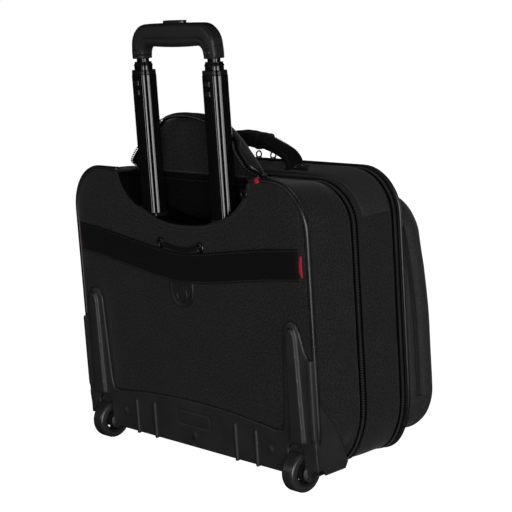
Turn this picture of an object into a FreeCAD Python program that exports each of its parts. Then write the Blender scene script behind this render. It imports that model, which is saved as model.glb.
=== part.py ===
import FreeCAD, Part
import math
import os
import re
import Sketcher

# Rolling laptop case, in millimetres. It stands on z = 0 on two wheels and two front feet. Its
# back, with the telescopic handle, faces +Y and its front pocket faces -Y. The origin is on the
# floor under the middle of the whole object. Right is +X, seen from the front.

DIMS = {
    # case outline: half width, height limits, corner radii and the thickness of the padded wall
    "case_half": 214, "case_low": 24, "case_high": 366, "case_round_top": 52, "case_round_low": 56,
    "wall": 4, "inset": 3,
    # planes from back to front: back panel, the three zips, front panel, front of the pocket
    "back_y": 101.2, "back_thick": 2.2, "main_zip_y": 20, "front_zip_y": -52, "front_panel_y": -66,
    "pocket_zip_y": -81, "front_y": -123, "panel_thick": 3,
    # zip tapes: width of one half, thickness, half of the gap between the two halves
    "tape_wide": 6, "tape_thick": 2.5, "tape_gap": 0.2,
    # how far the main zip lies below the padded top
    "zip_dip": 6,
    # piping round an edge: width along Y, how far it stands proud of the gusset, depth
    "piping_wide": 5, "piping_out": 1, "piping_deep": 5,
    # front pocket
    "pocket_half": 206, "pocket_low": 40, "pocket_high": 326, "pocket_round": 46,
    "pocket_wall": 3.5, "pocket_face": 4, "pocket_rim_round": 20,
    # laptop sleeve inside
    "sleeve_half": 188, "sleeve_low": 34, "sleeve_high": 282, "sleeve_y": 26, "sleeve_wall": 4,
    "sleeve_back": 8,
    # handle well in the back: half of an ellipse hanging from the top edge
    "well_half": 124, "well_deep": 64, "well_front_y": 61.5, "well_wall": 3, "well_rim_z": 370,
    # base guard
    "guard_back_y": 105, "guard_thick": 3.6, "guard_half": 218, "guard_side": 2.6, "guard_low": 20,
    "guard_crown": 81.5, "guard_arch_radius": 1175, "guard_floor": 2.8, "guard_reach_y": 42,
    "pillar_in_low": 153, "pillar_in": 166, "pillar_in_top": 173, "pillar_out_top": 200,
    "pillar_out": 211, "pillar_top": 210, "pillar_step": 168, "rib_deep": 5,
    # on the guard: lower corners, ridges at its sides, ribs at its foot, recessed frame, holes
    "guard_corner": 14, "ridge_wide": 7, "ridge_deep": 1.5, "ridge_low": 50,
    "foot_rib_half": 1.6, "foot_rib_deep": 2.2, "frame_half": 33, "frame_low": 47, "frame_high": 67,
    "frame_border": 2.5, "frame_round": 6, "screw_radius": 1.7, "floor_round": 26,
    # wheels
    "axle_y": 98, "wheel_radius": 25, "wheel_wide": 20, "wheel_x": 183.5, "wheel_gap": 1.4,
    "hub_radius": 17.5, "bearing_radius": 8, "bearing_wide": 5, "axle_radius": 3, "run_gap": 0.05,
    "cheek": 4,
    # wheel housings: room round a tyre, depth in front of it, height above it, round of a fork
    "wheel_room": 3, "housing_deep": 7.5, "housing_high": 8, "fork_radius": 11,
    # axle bolts: where the head starts, its thickness and the radius of the hole it sits in
    "bolt_head_x": 200.2, "bolt_head": 3.6, "bolt_radius": 5.6, "bolt_hole": 6.3,
    # feet
    "foot_x": 120, "foot_y": -34, "foot_radius": 13, "foot_recess": 4, "foot_recess_high": 7,
    "foot_screw": 1.8, "foot_screw_head": 3.4,
    # telescopic handle: places and outer sizes of the tubes, from the fixed one to the thinnest
    "handle_x": 67, "handle_y": 88, "tube_wall": 1,
    "fixed_wide": 30, "fixed_deep": 21.4, "fixed_low": 44, "fixed_high": 312,
    "first_wide": 26, "first_deep": 18.4, "first_low": 226, "first_high": 492.5,
    "second_wide": 21, "second_deep": 14.4, "second_low": 232, "second_high": 503.5,
    "third_wide": 14.5, "third_deep": 9.6, "third_low": 238, "third_high": 531,
    "collar_high": 6, "collar_high_second": 5, "slide_gap": 0.4, "tube_round": 2.4,
    # grip: legs, bar and push button
    "grip_half": 77, "grip_inner": 56.5, "grip_deep": 17, "grip_low": 512.5, "grip_under": 530,
    "grip_top": 555, "grip_round": 26, "grip_skin": 3, "button_half": 19, "button_deep": 11,
    "button_proud": 3.5, "button_foot": 12, "button_high": 9, "button_gap": 0.3,
    "grip_screw": 1.5, "grip_screw_head": 3, "grip_screw_up": 8, "grip_recess": 2,
    "rod_radius": 1.8, "stem_radius": 2.2, "spring_radius": 3.4, "spring_wire": 1,
    # flap over the handle well
    "flap_y": 58, "flap_thick": 4, "flap_rim_y": 76, "flap_low": 367.6, "flap_high": 447,
    "flap_base": 116, "flap_shoulder": 104, "flap_crown": 64,
    # carry handle
    "carry_y": -15, "carry_wide": 28, "carry_pivot_z": 371.5, "carry_foot": 97, "carry_top": 408,
    "carry_grip_half": 46, "carry_thick": 16, "wrap_half": 43, "wrap_skin": 3.2,
    "carry_pin": 2, "carry_knuckle": 4.6, "ear_deep": 5, "ear_thick": 3, "plate_thick": 0.8,
    # webbing band across the back
    "band_half": 205, "band_end_low": 258, "band_mid_low": 237, "band_wide": 38, "band_thick": 1.6,
    "stud_x": 37.5, "stud_up": 46, "stud_radius": 6, "stud_high": 4,
    "badge_half": 22, "badge_deep": 32, "badge_round": 14,
    # zip sliders
    "slider_long": 11, "slider_wide": 8, "slider_high": 2.7, "ring_radius": 4.5, "ring_wire": 1,
}

# every sub-part: its label and its object
PIECES = {}

doc = FreeCAD.newDocument("RollingLaptopCase")
sheet = doc.addObject("Spreadsheet::Sheet", "Dims")
for row, (alias, amount) in enumerate(DIMS.items(), start=1):
    sheet.set(f"A{row}", alias)
    sheet.set(f"B{row}", str(amount))
    sheet.setAlias(f"B{row}", alias)
doc.recompute()

WORD = re.compile(r"[a-z][a-z_]*")
TURN = {
    "x": FreeCAD.Rotation(FreeCAD.Vector(0, 1, 0), 90),
    "y": FreeCAD.Rotation(FreeCAD.Vector(1, 0, 0), -90),
    "z": FreeCAD.Rotation(),
}
AXES = {"x": ("y", "z"), "y": ("x", "z"), "z": ("x", "y")}
PLANES = {"x": "YZ_Plane", "y": "XZ_Plane", "z": "XY_Plane"}


def link(text):
    """An expression in dimension names, turned into one that reads the sheet."""
    return WORD.sub(lambda word: f"Dims.{word[0]}" if word[0] in DIMS else word[0], str(text))


def number(text):
    """The present value of an expression in dimension names."""
    return float(sheet.evalExpression(link(text)))


def bind(item, sizes):
    for path, text in sizes.items():
        item.setExpression(path, link(text))
    return item


def piece(label, item):
    """Names a finished sub-part, which gives its file its name."""
    item.Label = label
    PIECES[label] = item
    return item


# ---- building blocks: every limit and size is an expression in dimension names ----

def box(x, y, z):
    """A block between its low and high limits along each axis."""
    item = doc.addObject("Part::Box", "block")
    for length, axis, (low, high) in zip(("Length", "Width", "Height"), "xyz", (x, y, z)):
        bind(item, {length: f"({high}) - ({low})", f"Placement.Base.{axis}": low})
    return item


def cylinder(axis, radius, span, centre):
    """A round bar along an axis. centre holds its place along the other two axes."""
    item = doc.addObject("Part::Cylinder", "bar")
    item.Placement = FreeCAD.Placement(FreeCAD.Vector(), TURN[axis])
    low, high = span
    bind(item, {"Radius": radius, "Height": f"({high}) - ({low})", f"Placement.Base.{axis}": low})
    for other, text in zip(AXES[axis], centre):
        bind(item, {f"Placement.Base.{other}": text})
    return item


def half_ellipse(half, deep, span, top):
    """An elliptic bar along Y, centred on x = 0 at the height top."""
    curve = doc.addObject("Part::Ellipse", "oval")
    curve.Placement = FreeCAD.Placement(FreeCAD.Vector(), TURN["y"])
    low, high = span
    bind(curve, {"MajorRadius": half, "MinorRadius": deep, "Placement.Base.y": low,
                 "Placement.Base.z": top})
    item = doc.addObject("Part::Extrusion", "oval_bar")
    item.Base = curve
    item.DirMode = "Custom"
    item.Dir = FreeCAD.Vector(0, 1, 0)
    item.Solid = True
    return bind(item, {"LengthFwd": f"({high}) - ({low})"})


def group(*items):
    item = doc.addObject("Part::Compound", "set")
    item.Links = list(items)
    return item


def fuse(*items):
    item = doc.addObject("Part::MultiFuse", "union")
    item.Shapes = list(items)
    return item


def cut(base, *tools):
    item = doc.addObject("Part::Cut", "difference")
    item.Base = base
    item.Tool = tools[0] if len(tools) == 1 else group(*tools)
    return item


def common(first, second):
    item = doc.addObject("Part::Common", "overlap")
    item.Base = first
    item.Tool = second
    return item


def edges_along(shape, axis, corners=None):
    """Numbers of the straight edges along an axis, or only of those through the given corners."""
    found = []
    for index, edge in enumerate(shape.Edges, start=1):
        if not isinstance(edge.Curve, Part.Line) or abs(getattr(edge.Curve.Direction, axis)) < 0.999:
            continue
        middle = edge.CenterOfMass
        place = [getattr(middle, other) for other in AXES[axis]]
        if corners is None or any(
            all(abs(here - number(want)) < 0.05 for here, want in zip(place, corner))
            for corner in corners
        ):
            found.append(index)
    return found


def rounded(base, axis, radius, corners=None):
    """Rounds edges that run along one axis."""
    doc.recompute()
    item = doc.addObject("Part::Fillet", "rounding")
    item.Base = base
    size = number(radius)
    item.Edges = [(index, size, size) for index in edges_along(base.Shape, axis, corners)]
    return item


def new_sketch(body, axis, level):
    """A sketch square to an axis of the body, at a level along it."""
    sketch = body.newObject("Sketcher::SketchObject", "outline")
    plane = next(item for item in body.Origin.OriginFeatures if item.Role == PLANES[axis])
    sketch.AttachmentSupport = (plane, [""])
    sketch.MapMode = "FlatFace"
    sign = "-" if axis == "y" else ""
    return bind(sketch, {"AttachmentOffset.Base.z": f"{sign}({level})"})


def pad_body(axis, span):
    """An empty body and the sketch that it will be padded from, up to the other end of a span."""
    body = doc.addObject("PartDesign::Body", "body")
    low, high = span
    sketch = new_sketch(body, axis, high if axis == "y" else low)
    return body, sketch


def pad(body, sketch, span):
    low, high = span
    feature = body.newObject("PartDesign::Pad", "pad")
    feature.Profile = sketch
    bind(feature, {"Length": f"({high}) - ({low})"})
    return body


def add_polygon(sketch, points):
    """A closed outline of straight lines, with each corner tied to its two expressions."""
    places = [FreeCAD.Vector(number(u), number(v), 0) for u, v in points]
    first = sketch.GeometryCount
    for start, end in zip(places, places[1:] + places[:1]):
        sketch.addGeometry(Part.LineSegment(start, end), False)
    count = len(points)
    for step in range(count):
        line = first + step
        following = first + (step + 1) % count
        sketch.addConstraint(Sketcher.Constraint("Coincident", line, 2, following, 1))
    for step, (u, v) in enumerate(points):
        for kind, text in (("DistanceX", u), ("DistanceY", v)):
            name = f"{kind}{first + step}"
            index = sketch.addConstraint(
                Sketcher.Constraint(kind, -1, 1, first + step, 1, number(text)))
            sketch.renameConstraint(index, name)
            bind(sketch, {f"Constraints.{name}": text})


def add_rounded(sketch, tag, half, low, high, round_low, round_top):
    """A rectangle about x = 0 with one radius at its two lower corners and one at the upper."""
    side, floor, roof = number(half), number(low), number(high)
    small, large = number(round_low), number(round_top)
    up = FreeCAD.Vector(0, 0, 1)
    quarter = math.pi / 2
    line_ends = [
        ((small - side, floor), (side - small, floor)),
        ((side, floor + small), (side, roof - large)),
        ((side - large, roof), (large - side, roof)),
        ((-side, roof - large), (-side, floor + small)),
    ]
    arcs = [
        ((side - small, floor + small), small, -quarter), ((side - large, roof - large), large, 0),
        ((large - side, roof - large), large, quarter),
        ((small - side, floor + small), small, 2 * quarter),
    ]
    first = sketch.GeometryCount
    for (start, end), (centre, radius, angle) in zip(line_ends, arcs):
        sketch.addGeometry(Part.LineSegment(FreeCAD.Vector(*start, 0), FreeCAD.Vector(*end, 0)), False)
        circle = Part.Circle(FreeCAD.Vector(*centre, 0), up, radius)
        sketch.addGeometry(Part.ArcOfCircle(circle, angle, angle + quarter), False)
    for step in range(8):
        following = first + (step + 1) % 8
        sketch.addConstraint(Sketcher.Constraint("Tangent", first + step, 2, following, 1))
    sketch.addConstraint([
        Sketcher.Constraint("Symmetric", first, 1, first, 2, -2),
        Sketcher.Constraint("Vertical", first + 2),
        Sketcher.Constraint("Vertical", first + 6),
        Sketcher.Constraint("Horizontal", first + 4),
        Sketcher.Constraint("Equal", first + 1, first + 7),
        Sketcher.Constraint("Equal", first + 3, first + 5),
    ])
    for name, constraint, text in (
        ("half", Sketcher.Constraint("DistanceX", -1, 1, first + 2, 1, side), half),
        ("low", Sketcher.Constraint("DistanceY", -1, 1, first, 1, floor), low),
        ("high", Sketcher.Constraint("DistanceY", -1, 1, first + 4, 1, roof), high),
        ("round_low", Sketcher.Constraint("Radius", first + 1, small), round_low),
        ("round_top", Sketcher.Constraint("Radius", first + 3, large), round_top),
    ):
        index = sketch.addConstraint(constraint)
        sketch.renameConstraint(index, f"{tag}_{name}")
        bind(sketch, {f"Constraints.{tag}_{name}": text})


def prism(axis, points, span):
    """A straight-sided outline, padded along an axis."""
    body, sketch = pad_body(axis, span)
    add_polygon(sketch, points)
    return pad(body, sketch, span)


def hoop(outline, wall, span):
    """A rounded outline padded along Y. With a wall thickness it is a ring, without, a plate."""
    body, sketch = pad_body("y", span)
    add_rounded(sketch, "outer", *outline)
    if wall:
        half, low, high, round_low, round_top = outline
        add_rounded(sketch, "inner", f"({half}) - ({wall})", f"({low}) + ({wall})",
                    f"({high}) - ({wall})", f"({round_low}) - ({wall})", f"({round_top}) - ({wall})")
    return pad(body, sketch, span)


def mirrored(maker):
    """The same piece on both sides, as two separate solids."""
    return group(maker(-1), maker(1))


def sided(side, text):
    """A place along X, on the left (-1) or on the right (1)."""
    return f"{side} * ({text})"


def side_span(side, inner, outer):
    """Limits along X of something between two distances from the middle, on one side."""
    ends = [sided(side, inner), sided(side, outer)]
    return ends if side > 0 else ends[::-1]


CASE = ("case_half", "case_low", "case_high", "case_round_low", "case_round_top")
MAIN_ZIP = ("case_half", "case_low", "case_high - zip_dip", "case_round_low", "case_round_top")
POCKET = ("pocket_half", "pocket_low", "pocket_high", "pocket_round", "pocket_round")


def case_outline(grow):
    half, low, high, round_low, round_top = CASE
    return (f"{half} + ({grow})", f"{low} - ({grow})", f"{high} + ({grow})",
            f"{round_low} + ({grow})", f"{round_top} + ({grow})")


# ---- back of the case: panel, gusset, well, guard ----

def wheel_slot(grow):
    """The room that both wheels need, as a tool to cut with. It is open downwards and backwards."""
    slots = []
    for side in (-1, 1):
        span = side_span(side, f"wheel_x - wheel_wide / 2 - {grow}",
                         f"wheel_x + wheel_wide / 2 + {grow}")
        drum = cylinder("x", f"wheel_radius + {grow} + wheel_room", span, ("axle_y", "wheel_radius"))
        below = box(span, (f"axle_y - wheel_radius - {grow} - wheel_room", "guard_back_y + 5"),
                    ("-1", "wheel_radius"))
        behind = box(span, ("axle_y", "guard_back_y + 5"),
                     ("0", f"2 * wheel_radius + {grow} + wheel_room"))
        slots.append(fuse(drum, below, behind))
    return group(*slots)


def guard_corner_room():
    """The housings round the wheels, as a tool that clears the soft parts from them."""
    rooms = [
        box(side_span(side, "wheel_x - wheel_wide / 2 - wheel_gap - cheek - 0.3", "guard_half"),
            ("axle_y - wheel_radius - housing_deep - 0.5", "guard_back_y"),
            ("0", "2 * wheel_radius + housing_high + 1"))
        for side in (-1, 1)
    ]
    return group(*rooms)


def build_back():
    panel = hoop(CASE, None, ("back_y - back_thick", "back_y"))
    opening = half_ellipse("well_half", "well_deep",
                           ("back_y - back_thick - 1", "back_y + 1"), "well_rim_z")
    piece("back_panel", cut(panel, opening, guard_corner_room()))

    gusset = hoop(CASE, "wall", ("main_zip_y + tape_wide", "back_y - back_thick - piping_wide"))
    notch = box(("-well_half", "well_half"), ("well_front_y - well_wall", "back_y"),
                ("case_high - wall - 1", "case_high + 1"))
    piece("rear_gusset", cut(gusset, notch, guard_corner_room()))

    piping = hoop(case_outline("piping_out"), "piping_deep",
                  ("back_y - back_thick - piping_wide + 0.1", "back_y - back_thick"))
    gap = box(("-well_half", "well_half"), ("0", "back_y"), ("case_high - 9", "case_high + 9"))
    piece("back_piping", cut(piping, gap, guard_corner_room()))

    board = hoop(case_outline("-wall - 2"), None,
                 ("well_front_y - sleeve_back", "well_front_y - sleeve_back + 2"))
    piece("frame_board", cut(board, guard_corner_room()))


def build_well():
    """A tray behind the U-shaped opening. The fixed tubes come up through its floor."""
    reach = ("well_front_y - well_wall", "back_y - back_thick")
    outer = half_ellipse("well_half", "well_deep", reach, "well_rim_z")
    inner = half_ellipse("well_half - well_wall", "well_deep - well_wall",
                         ("well_front_y", "back_y"), "well_rim_z")
    above = box(("-case_half", "case_half"), ("0", "back_y"), ("case_high", "case_high + 90"))
    holes = [
        box((f"{side} * handle_x - fixed_wide / 2 - 1", f"{side} * handle_x + fixed_wide / 2 + 1"),
            ("handle_y - fixed_deep / 2 - 0.5", "back_y"), ("200", "fixed_high + collar_high + 12"))
        for side in (-1, 1)
    ]
    piece("handle_well", cut(outer, inner, above, *holes))


def pillar_outline(side):
    """Outline of one pillar of the guard, with its step out over the piping."""
    corners = [
        ("pillar_in_low", "guard_low"), ("pillar_in_low", "guard_crown - 9"),
        ("pillar_in_low + 9", "guard_crown - 8"), ("pillar_in", "guard_crown + 4"),
        ("pillar_in_top", "pillar_top - 14"), ("pillar_in_top + 7", "pillar_top - 2"),
        ("pillar_in_top + 14", "pillar_top"), ("pillar_out_top - 6", "pillar_top - 3"),
        ("pillar_out_top", "pillar_top - 13"), ("pillar_out - 5", "pillar_step + 8"),
        ("pillar_out", "pillar_step"), ("guard_half", "pillar_step - 2"),
        ("guard_half", "guard_low + 34"), ("guard_half - 5", "guard_low + 14"),
        ("guard_half - guard_corner", "guard_low"),
    ]
    return [(sided(side, x), z) for x, z in corners]


def rib_outline(side):
    """Outline of the raised rib on a pillar, wide at its foot and narrow at its top."""
    corners = [
        ("pillar_in_top + 6", "guard_low + 43"), ("pillar_in_top + 8.5", "pillar_top - 18"),
        ("pillar_in_top + 12", "pillar_top - 9"), ("pillar_in_top + 19", "pillar_top - 8"),
        ("pillar_in_top + 23", "pillar_top - 18"), ("pillar_in_top + 28", "guard_low + 43"),
    ]
    return [(sided(side, x), z) for x, z in corners]


def side_wrap(side):
    """The skin of the guard on the gusset's side, cut away along a slope towards the front."""
    slope = [
        ("guard_back_y - 1", "guard_low + 10"), ("guard_back_y - 1", "pillar_step - 2"),
        ("guard_back_y - 9", "pillar_step - 4"), ("guard_back_y - 11", "guard_low + 92"),
        ("guard_back_y - 33", "guard_low + 62"), ("guard_back_y - 47", "guard_low + 32"),
        ("guard_back_y - 53", "guard_low + 12"), ("guard_back_y - 48", "guard_low + 4"),
        ("guard_back_y - 12", "guard_low + 4"),
    ]
    return prism("x", slope, side_span(side, "guard_half - guard_side", "guard_half"))


def fork(side):
    """The housing round a wheel, with the two cheeks that hold its axle."""
    lower = "wheel_x - wheel_wide / 2 - wheel_gap"
    upper = "wheel_x + wheel_wide / 2 + wheel_gap"
    housing = box(side_span(side, f"{lower} - cheek", f"{upper} + cheek"),
                  ("axle_y - wheel_radius - housing_deep", "guard_back_y - 1"),
                  ("guard_low", "2 * wheel_radius + housing_high"))
    skins = [housing]
    for inner, outer in ((f"{lower} - cheek", lower), (upper, f"{upper} + cheek + 1")):
        span = side_span(side, inner, outer)
        skins.append(cylinder("x", "fork_radius", span, ("axle_y", "wheel_radius")))
        skins.append(box(span, ("axle_y - fork_radius", "guard_back_y - 0.1"),
                         ("wheel_radius", "2 * wheel_radius")))
    bridge = box(side_span(side, f"{upper} + 1", "guard_half - 1"),
                 ("axle_y - wheel_radius - 1", "guard_back_y - 1"),
                 ("guard_low + 10", "2 * wheel_radius + housing_high"))
    return skins + [bridge]


# the guard's screws, as places across and up, and its foot ribs, as places across and heights
SCREW_PLACES = [("-140", "45"), ("0", "35"), ("140", "45")]
FOOT_RIBS = [("78", "46"), ("115", "44")]


def build_guard():
    plate_y = ("guard_back_y - guard_thick", "guard_back_y")
    blank = box(("-guard_half + guard_corner", "guard_half - guard_corner"), plate_y,
                ("guard_low", "guard_crown + 1"))
    arch = cylinder("y", "guard_arch_radius", plate_y, ("0", "guard_crown - guard_arch_radius"))
    parts = [common(blank, arch)]
    for side in (-1, 1):
        parts.append(prism("y", pillar_outline(side), plate_y))
        parts.append(prism("y", rib_outline(side), ("guard_back_y - 1", "guard_back_y + rib_deep")))
        parts.append(side_wrap(side))
        parts.extend(fork(side))
        ridge = side_span(side, "guard_half - ridge_wide", "guard_half")
        parts.append(box(ridge, ("guard_back_y - guard_thick", "guard_back_y + ridge_deep"),
                         ("guard_low + ridge_low", "pillar_step - 2.5")))
        for place, height in FOOT_RIBS:
            middle = sided(side, place)
            parts.append(box((f"{middle} - foot_rib_half", f"{middle} + foot_rib_half"),
                             ("guard_back_y - 3", "guard_back_y + foot_rib_deep"),
                             ("guard_low - 1.5", f"guard_low + {height}")))
    inset_half = "guard_half - guard_corner + 2"
    floor = box((f"-({inset_half})", inset_half), ("guard_reach_y", "guard_back_y - 1"),
                ("guard_low", "guard_low + guard_floor"))
    parts.append(rounded(floor, "z", "floor_round", [(f"-({inset_half})", "guard_reach_y"),
                                                     (inset_half, "guard_reach_y")]))
    body = fuse(*parts)

    around = box(("-frame_half", "frame_half"), ("guard_back_y - 0.8", "guard_back_y + 1"),
                 ("frame_low", "frame_high"))
    within = box(("-frame_half + frame_border", "frame_half - frame_border"),
                 ("guard_back_y - 1", "guard_back_y + 2"),
                 ("frame_low + frame_border", "frame_high - frame_border"))
    frame = cut(rounded(around, "y", "frame_round"), rounded(within, "y", "frame_round - 2"))
    axles = [cylinder("x", "axle_radius", side_span(side, "wheel_x - 18", "guard_half"),
                      ("axle_y", "wheel_radius")) for side in (-1, 1)]
    heads = [cylinder("x", "bolt_hole", side_span(side, "bolt_head_x", "guard_half + 9"),
                      ("axle_y", "wheel_radius")) for side in (-1, 1)]
    holes = [cylinder("y", "screw_radius", ("guard_back_y - 9", "guard_back_y + 9"), place)
             for place in SCREW_PLACES]
    piece("base_guard", cut(body, frame, wheel_slot("wheel_gap"), *axles, *heads, *holes))


def build_guard_screws():
    """Pan-head screws that hold the guard's back plate to the board in the back panel."""
    screws = []
    for x, z in SCREW_PLACES:
        shank = cylinder("y", "screw_radius", ("guard_back_y - guard_thick", "guard_back_y"), (x, z))
        head = cylinder("y", "2 * screw_radius + 0.2", ("guard_back_y", "guard_back_y + 1.6"), (x, z))
        screws.append(fuse(shank, head))
    piece("guard_screws", group(*screws))


# ---- wheels ----

def build_wheel(side, word):
    """Tyre, spoked hub, two bearings and the axle bolt of one wheel, all about the axle."""
    centre = ("axle_y", "wheel_radius")
    left = sided(side, "wheel_x")
    width = (f"{left} - wheel_wide / 2", f"{left} + wheel_wide / 2")
    low, high = width
    tyre = rounded_rim(cylinder("x", "wheel_radius", width, centre), 4)
    piece(f"tyre_{word}", cut(tyre, cylinder("x", "hub_radius", width, centre)))

    rim = cut(cylinder("x", "hub_radius", (f"{low} + 1", f"{high} - 1"), centre),
              cylinder("x", "hub_radius - 3", width, centre))
    boss = cylinder("x", "bearing_radius + 2", (f"{low} + 1", f"{high} - 1"), centre)
    web = []
    for step in range(6):
        spoke = box((f"{left} - 3", f"{left} + 3"), ("-1.6", "1.6"),
                    ("bearing_radius", "hub_radius - 1"))
        turn = FreeCAD.Rotation(FreeCAD.Vector(1, 0, 0), 60 * step)
        spoke.Placement = FreeCAD.Placement(FreeCAD.Vector(), turn)
        radial = turn.multVec(FreeCAD.Vector(0, 0, 1))
        across = turn.multVec(FreeCAD.Vector(0, -1.6, 0))
        bind(spoke, {
            "Placement.Base.x": f"{left} - 3",
            "Placement.Base.y": f"axle_y + {across.y:.9f} + bearing_radius * {radial.y:.9f}",
            "Placement.Base.z": f"wheel_radius + {across.z:.9f} + bearing_radius * {radial.z:.9f}",
        })
        web.append(spoke)
    ends = ((low, f"{low} + 1 + bearing_wide"), (f"{high} - 1 - bearing_wide", high))
    seats = [cylinder("x", "bearing_radius", span, centre) for span in ends]
    bore = cylinder("x", "axle_radius + 1", width, centre)
    piece(f"hub_{word}", cut(fuse(rim, boss, *web), *seats, bore))

    bearings = []
    for low_end, high_end in ((f"{low} + 1", f"{low} + 1 + bearing_wide"),
                              (f"{high} - 1 - bearing_wide", f"{high} - 1")):
        ring = cylinder("x", "bearing_radius", (low_end, high_end), centre)
        hole = cylinder("x", "axle_radius + run_gap", (low_end, high_end), centre)
        bearings.append(cut(ring, hole))
    piece(f"bearings_{word}", group(*bearings))


def rounded_rim(base, radius):
    """Rounds both circular edges of a disc."""
    doc.recompute()
    item = doc.addObject("Part::Fillet", "rounding")
    item.Base = base
    item.Edges = [(index, radius, radius) for index, edge in enumerate(base.Shape.Edges, start=1)
                  if isinstance(edge.Curve, Part.Circle)]
    return item


def axle_bolt(side):
    """A bolt through both cheeks of a fork: domed head outside, plain end inside."""
    centre = ("axle_y", "wheel_radius")
    inner = "wheel_x - wheel_wide / 2 - wheel_gap - cheek"
    shank = cylinder("x", "axle_radius", side_span(side, inner, "bolt_head_x"), centre)
    dome = side_span(side, "bolt_head_x", "bolt_head_x + bolt_head")
    head = rounded_rim(cylinder("x", "bolt_radius", dome, centre), 1.4)
    return fuse(shank, head)


# ---- telescopic handle ----

def tube_at(side, wide, deep, span, grow=0):
    """A rectangular bar on one side of the handle, with rounded corners."""
    middle = sided(side, "handle_x")
    block = box((f"{middle} - {wide} / 2 - {grow}", f"{middle} + {wide} / 2 + {grow}"),
                (f"handle_y - {deep} / 2 - {grow}", f"handle_y + {deep} / 2 + {grow}"), span)
    return rounded(block, "z", "tube_round")


def hollow_tube(side, stage):
    span = (f"{stage}_low", f"{stage}_high")
    outer = tube_at(side, f"{stage}_wide", f"{stage}_deep", span)
    inner = tube_at(side, f"{stage}_wide", f"{stage}_deep", span, "-tube_wall")
    return cut(outer, inner)


def collar(side, stage, following, high):
    """The plastic cap on a tube's top end. The next tube slides through it."""
    span = (f"{stage}_high", f"{stage}_high + {high}")
    grow = "0.5" if stage != "fixed" else "0"
    outer = tube_at(side, f"{stage}_wide", f"{stage}_deep", span, grow)
    inner = tube_at(side, f"{following}_wide", f"{following}_deep", span, "slide_gap")
    return cut(outer, inner)


def build_tubes():
    for stage in ("fixed", "first", "second", "third"):
        piece(f"{stage}_tubes", mirrored(lambda side: hollow_tube(side, stage)))
    for stage, following, high in (
        ("fixed", "first", "collar_high"), ("first", "second", "collar_high"),
        ("second", "third", "collar_high_second"),
    ):
        piece(f"{stage}_collars", mirrored(lambda side: collar(side, stage, following, high)))

    bracket = box(("-handle_x - 22", "handle_x + 22"), ("handle_y - 13", "handle_y + fixed_deep / 2"),
                  ("fixed_low - 8", "fixed_low + 14"))
    sockets = [tube_at(side, "fixed_wide", "fixed_deep", ("fixed_low", "fixed_low + 14"), "0.02")
               for side in (-1, 1)]
    piece("tube_bracket", cut(bracket, *sockets))


def grip_solid():
    """The arch of the grip, its bar and its two legs in one."""
    outer = [("-grip_half", "grip_low"), ("grip_half", "grip_low"), ("grip_half", "grip_top"),
             ("-grip_half", "grip_top")]
    block = prism("y", outer, ("handle_y - grip_deep / 2", "handle_y + grip_deep / 2"))
    corners = [("-grip_half", "grip_top"), ("grip_half", "grip_top")]
    solid = rounded(block, "y", "grip_round", corners)
    gap = box(("-grip_inner + 6", "grip_inner - 6"), ("0", "200"), ("grip_low - 1", "grip_under"))
    gap_round = rounded(gap, "y", 10, [("-grip_inner + 6", "grip_under"),
                                       ("grip_inner - 6", "grip_under")])
    return cut(solid, gap_round)


def build_grip():
    parting = "grip_under + 3"
    deep = ("handle_y - 20", "handle_y + 20")
    wide = ("-grip_half - 5", "grip_half + 5")
    cavity = box(("-grip_half + 4", "grip_half - 4"), ("handle_y - grip_deep / 2 + grip_skin",
                 "handle_y + grip_deep / 2 - grip_skin"), (parting, "grip_top - 6"))
    cavity = rounded(cavity, "y", 13, [("-grip_half + 4", "grip_top - 6"),
                                       ("grip_half - 4", "grip_top - 6")])
    button_hole = button_block("button_gap", ("grip_top - button_foot", "grip_top + 2"))
    sockets = [tube_at(side, "third_wide", "third_deep", ("grip_low - 1", "grip_under + 4"))
               for side in (-1, 1)]
    places = [(sided(side, "handle_x"), "grip_low + grip_screw_up") for side in (-1, 1)]
    seat = "handle_y + grip_deep / 2 - grip_recess"
    drills = [cylinder("y", "grip_screw", ("handle_y", deep[1]), place) for place in places]
    recesses = [cylinder("y", "grip_screw_head + 0.4", (seat, deep[1]), place) for place in places]
    top_half = common(grip_solid(), box(wide, deep, (parting, "grip_top + 1")))
    low_half = common(grip_solid(), box(wide, deep, ("grip_low", parting)))
    piece("grip_cover", cut(top_half, cavity, button_hole))
    piece("grip_base", cut(low_half, *sockets, *drills, *recesses))

    screws = [fuse(cylinder("y", "grip_screw", ("handle_y + third_deep / 2", seat), place),
                   cylinder("y", "grip_screw_head", (seat, f"{seat} + 1.4"), place))
              for place in places]
    piece("grip_screws", group(*screws))

    head = button_block("0", ("grip_top - button_high", "grip_top + button_proud"))
    stem = cylinder("z", "stem_radius", ("grip_top - button_foot", "grip_top - button_high"),
                    ("0", "handle_y"))
    piece("release_button", fuse(head, stem))
    bar = box(("-handle_x - 3", "handle_x + 3"), ("handle_y - 3", "handle_y + 3"),
              ("grip_top - button_foot - 3", "grip_top - button_foot"))
    rods = [cylinder("z", "rod_radius", ("third_low + 6", "grip_top - button_foot - 3"),
                     (sided(side, "handle_x"), "handle_y")) for side in (-1, 1)]
    piece("release_bar", fuse(bar, *rods))


def button_block(grow, span):
    """The push button's oval outline, padded upwards."""
    block = box((f"-button_half - {grow}", f"button_half + {grow}"),
                (f"handle_y - button_deep / 2 - {grow}", f"handle_y + button_deep / 2 + {grow}"), span)
    return rounded(block, "z", 5)


def build_button_spring():
    """A coil spring below the release bar, as a sleeve of its outer size."""
    span = ("grip_under + 3.1", "grip_top - button_foot - 3.2")
    outer = cylinder("z", "spring_radius", span, ("0", "handle_y"))
    inner = cylinder("z", "spring_radius - spring_wire", span, ("0", "handle_y"))
    piece("button_spring", cut(outer, inner))


# ---- front of the case ----

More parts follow.
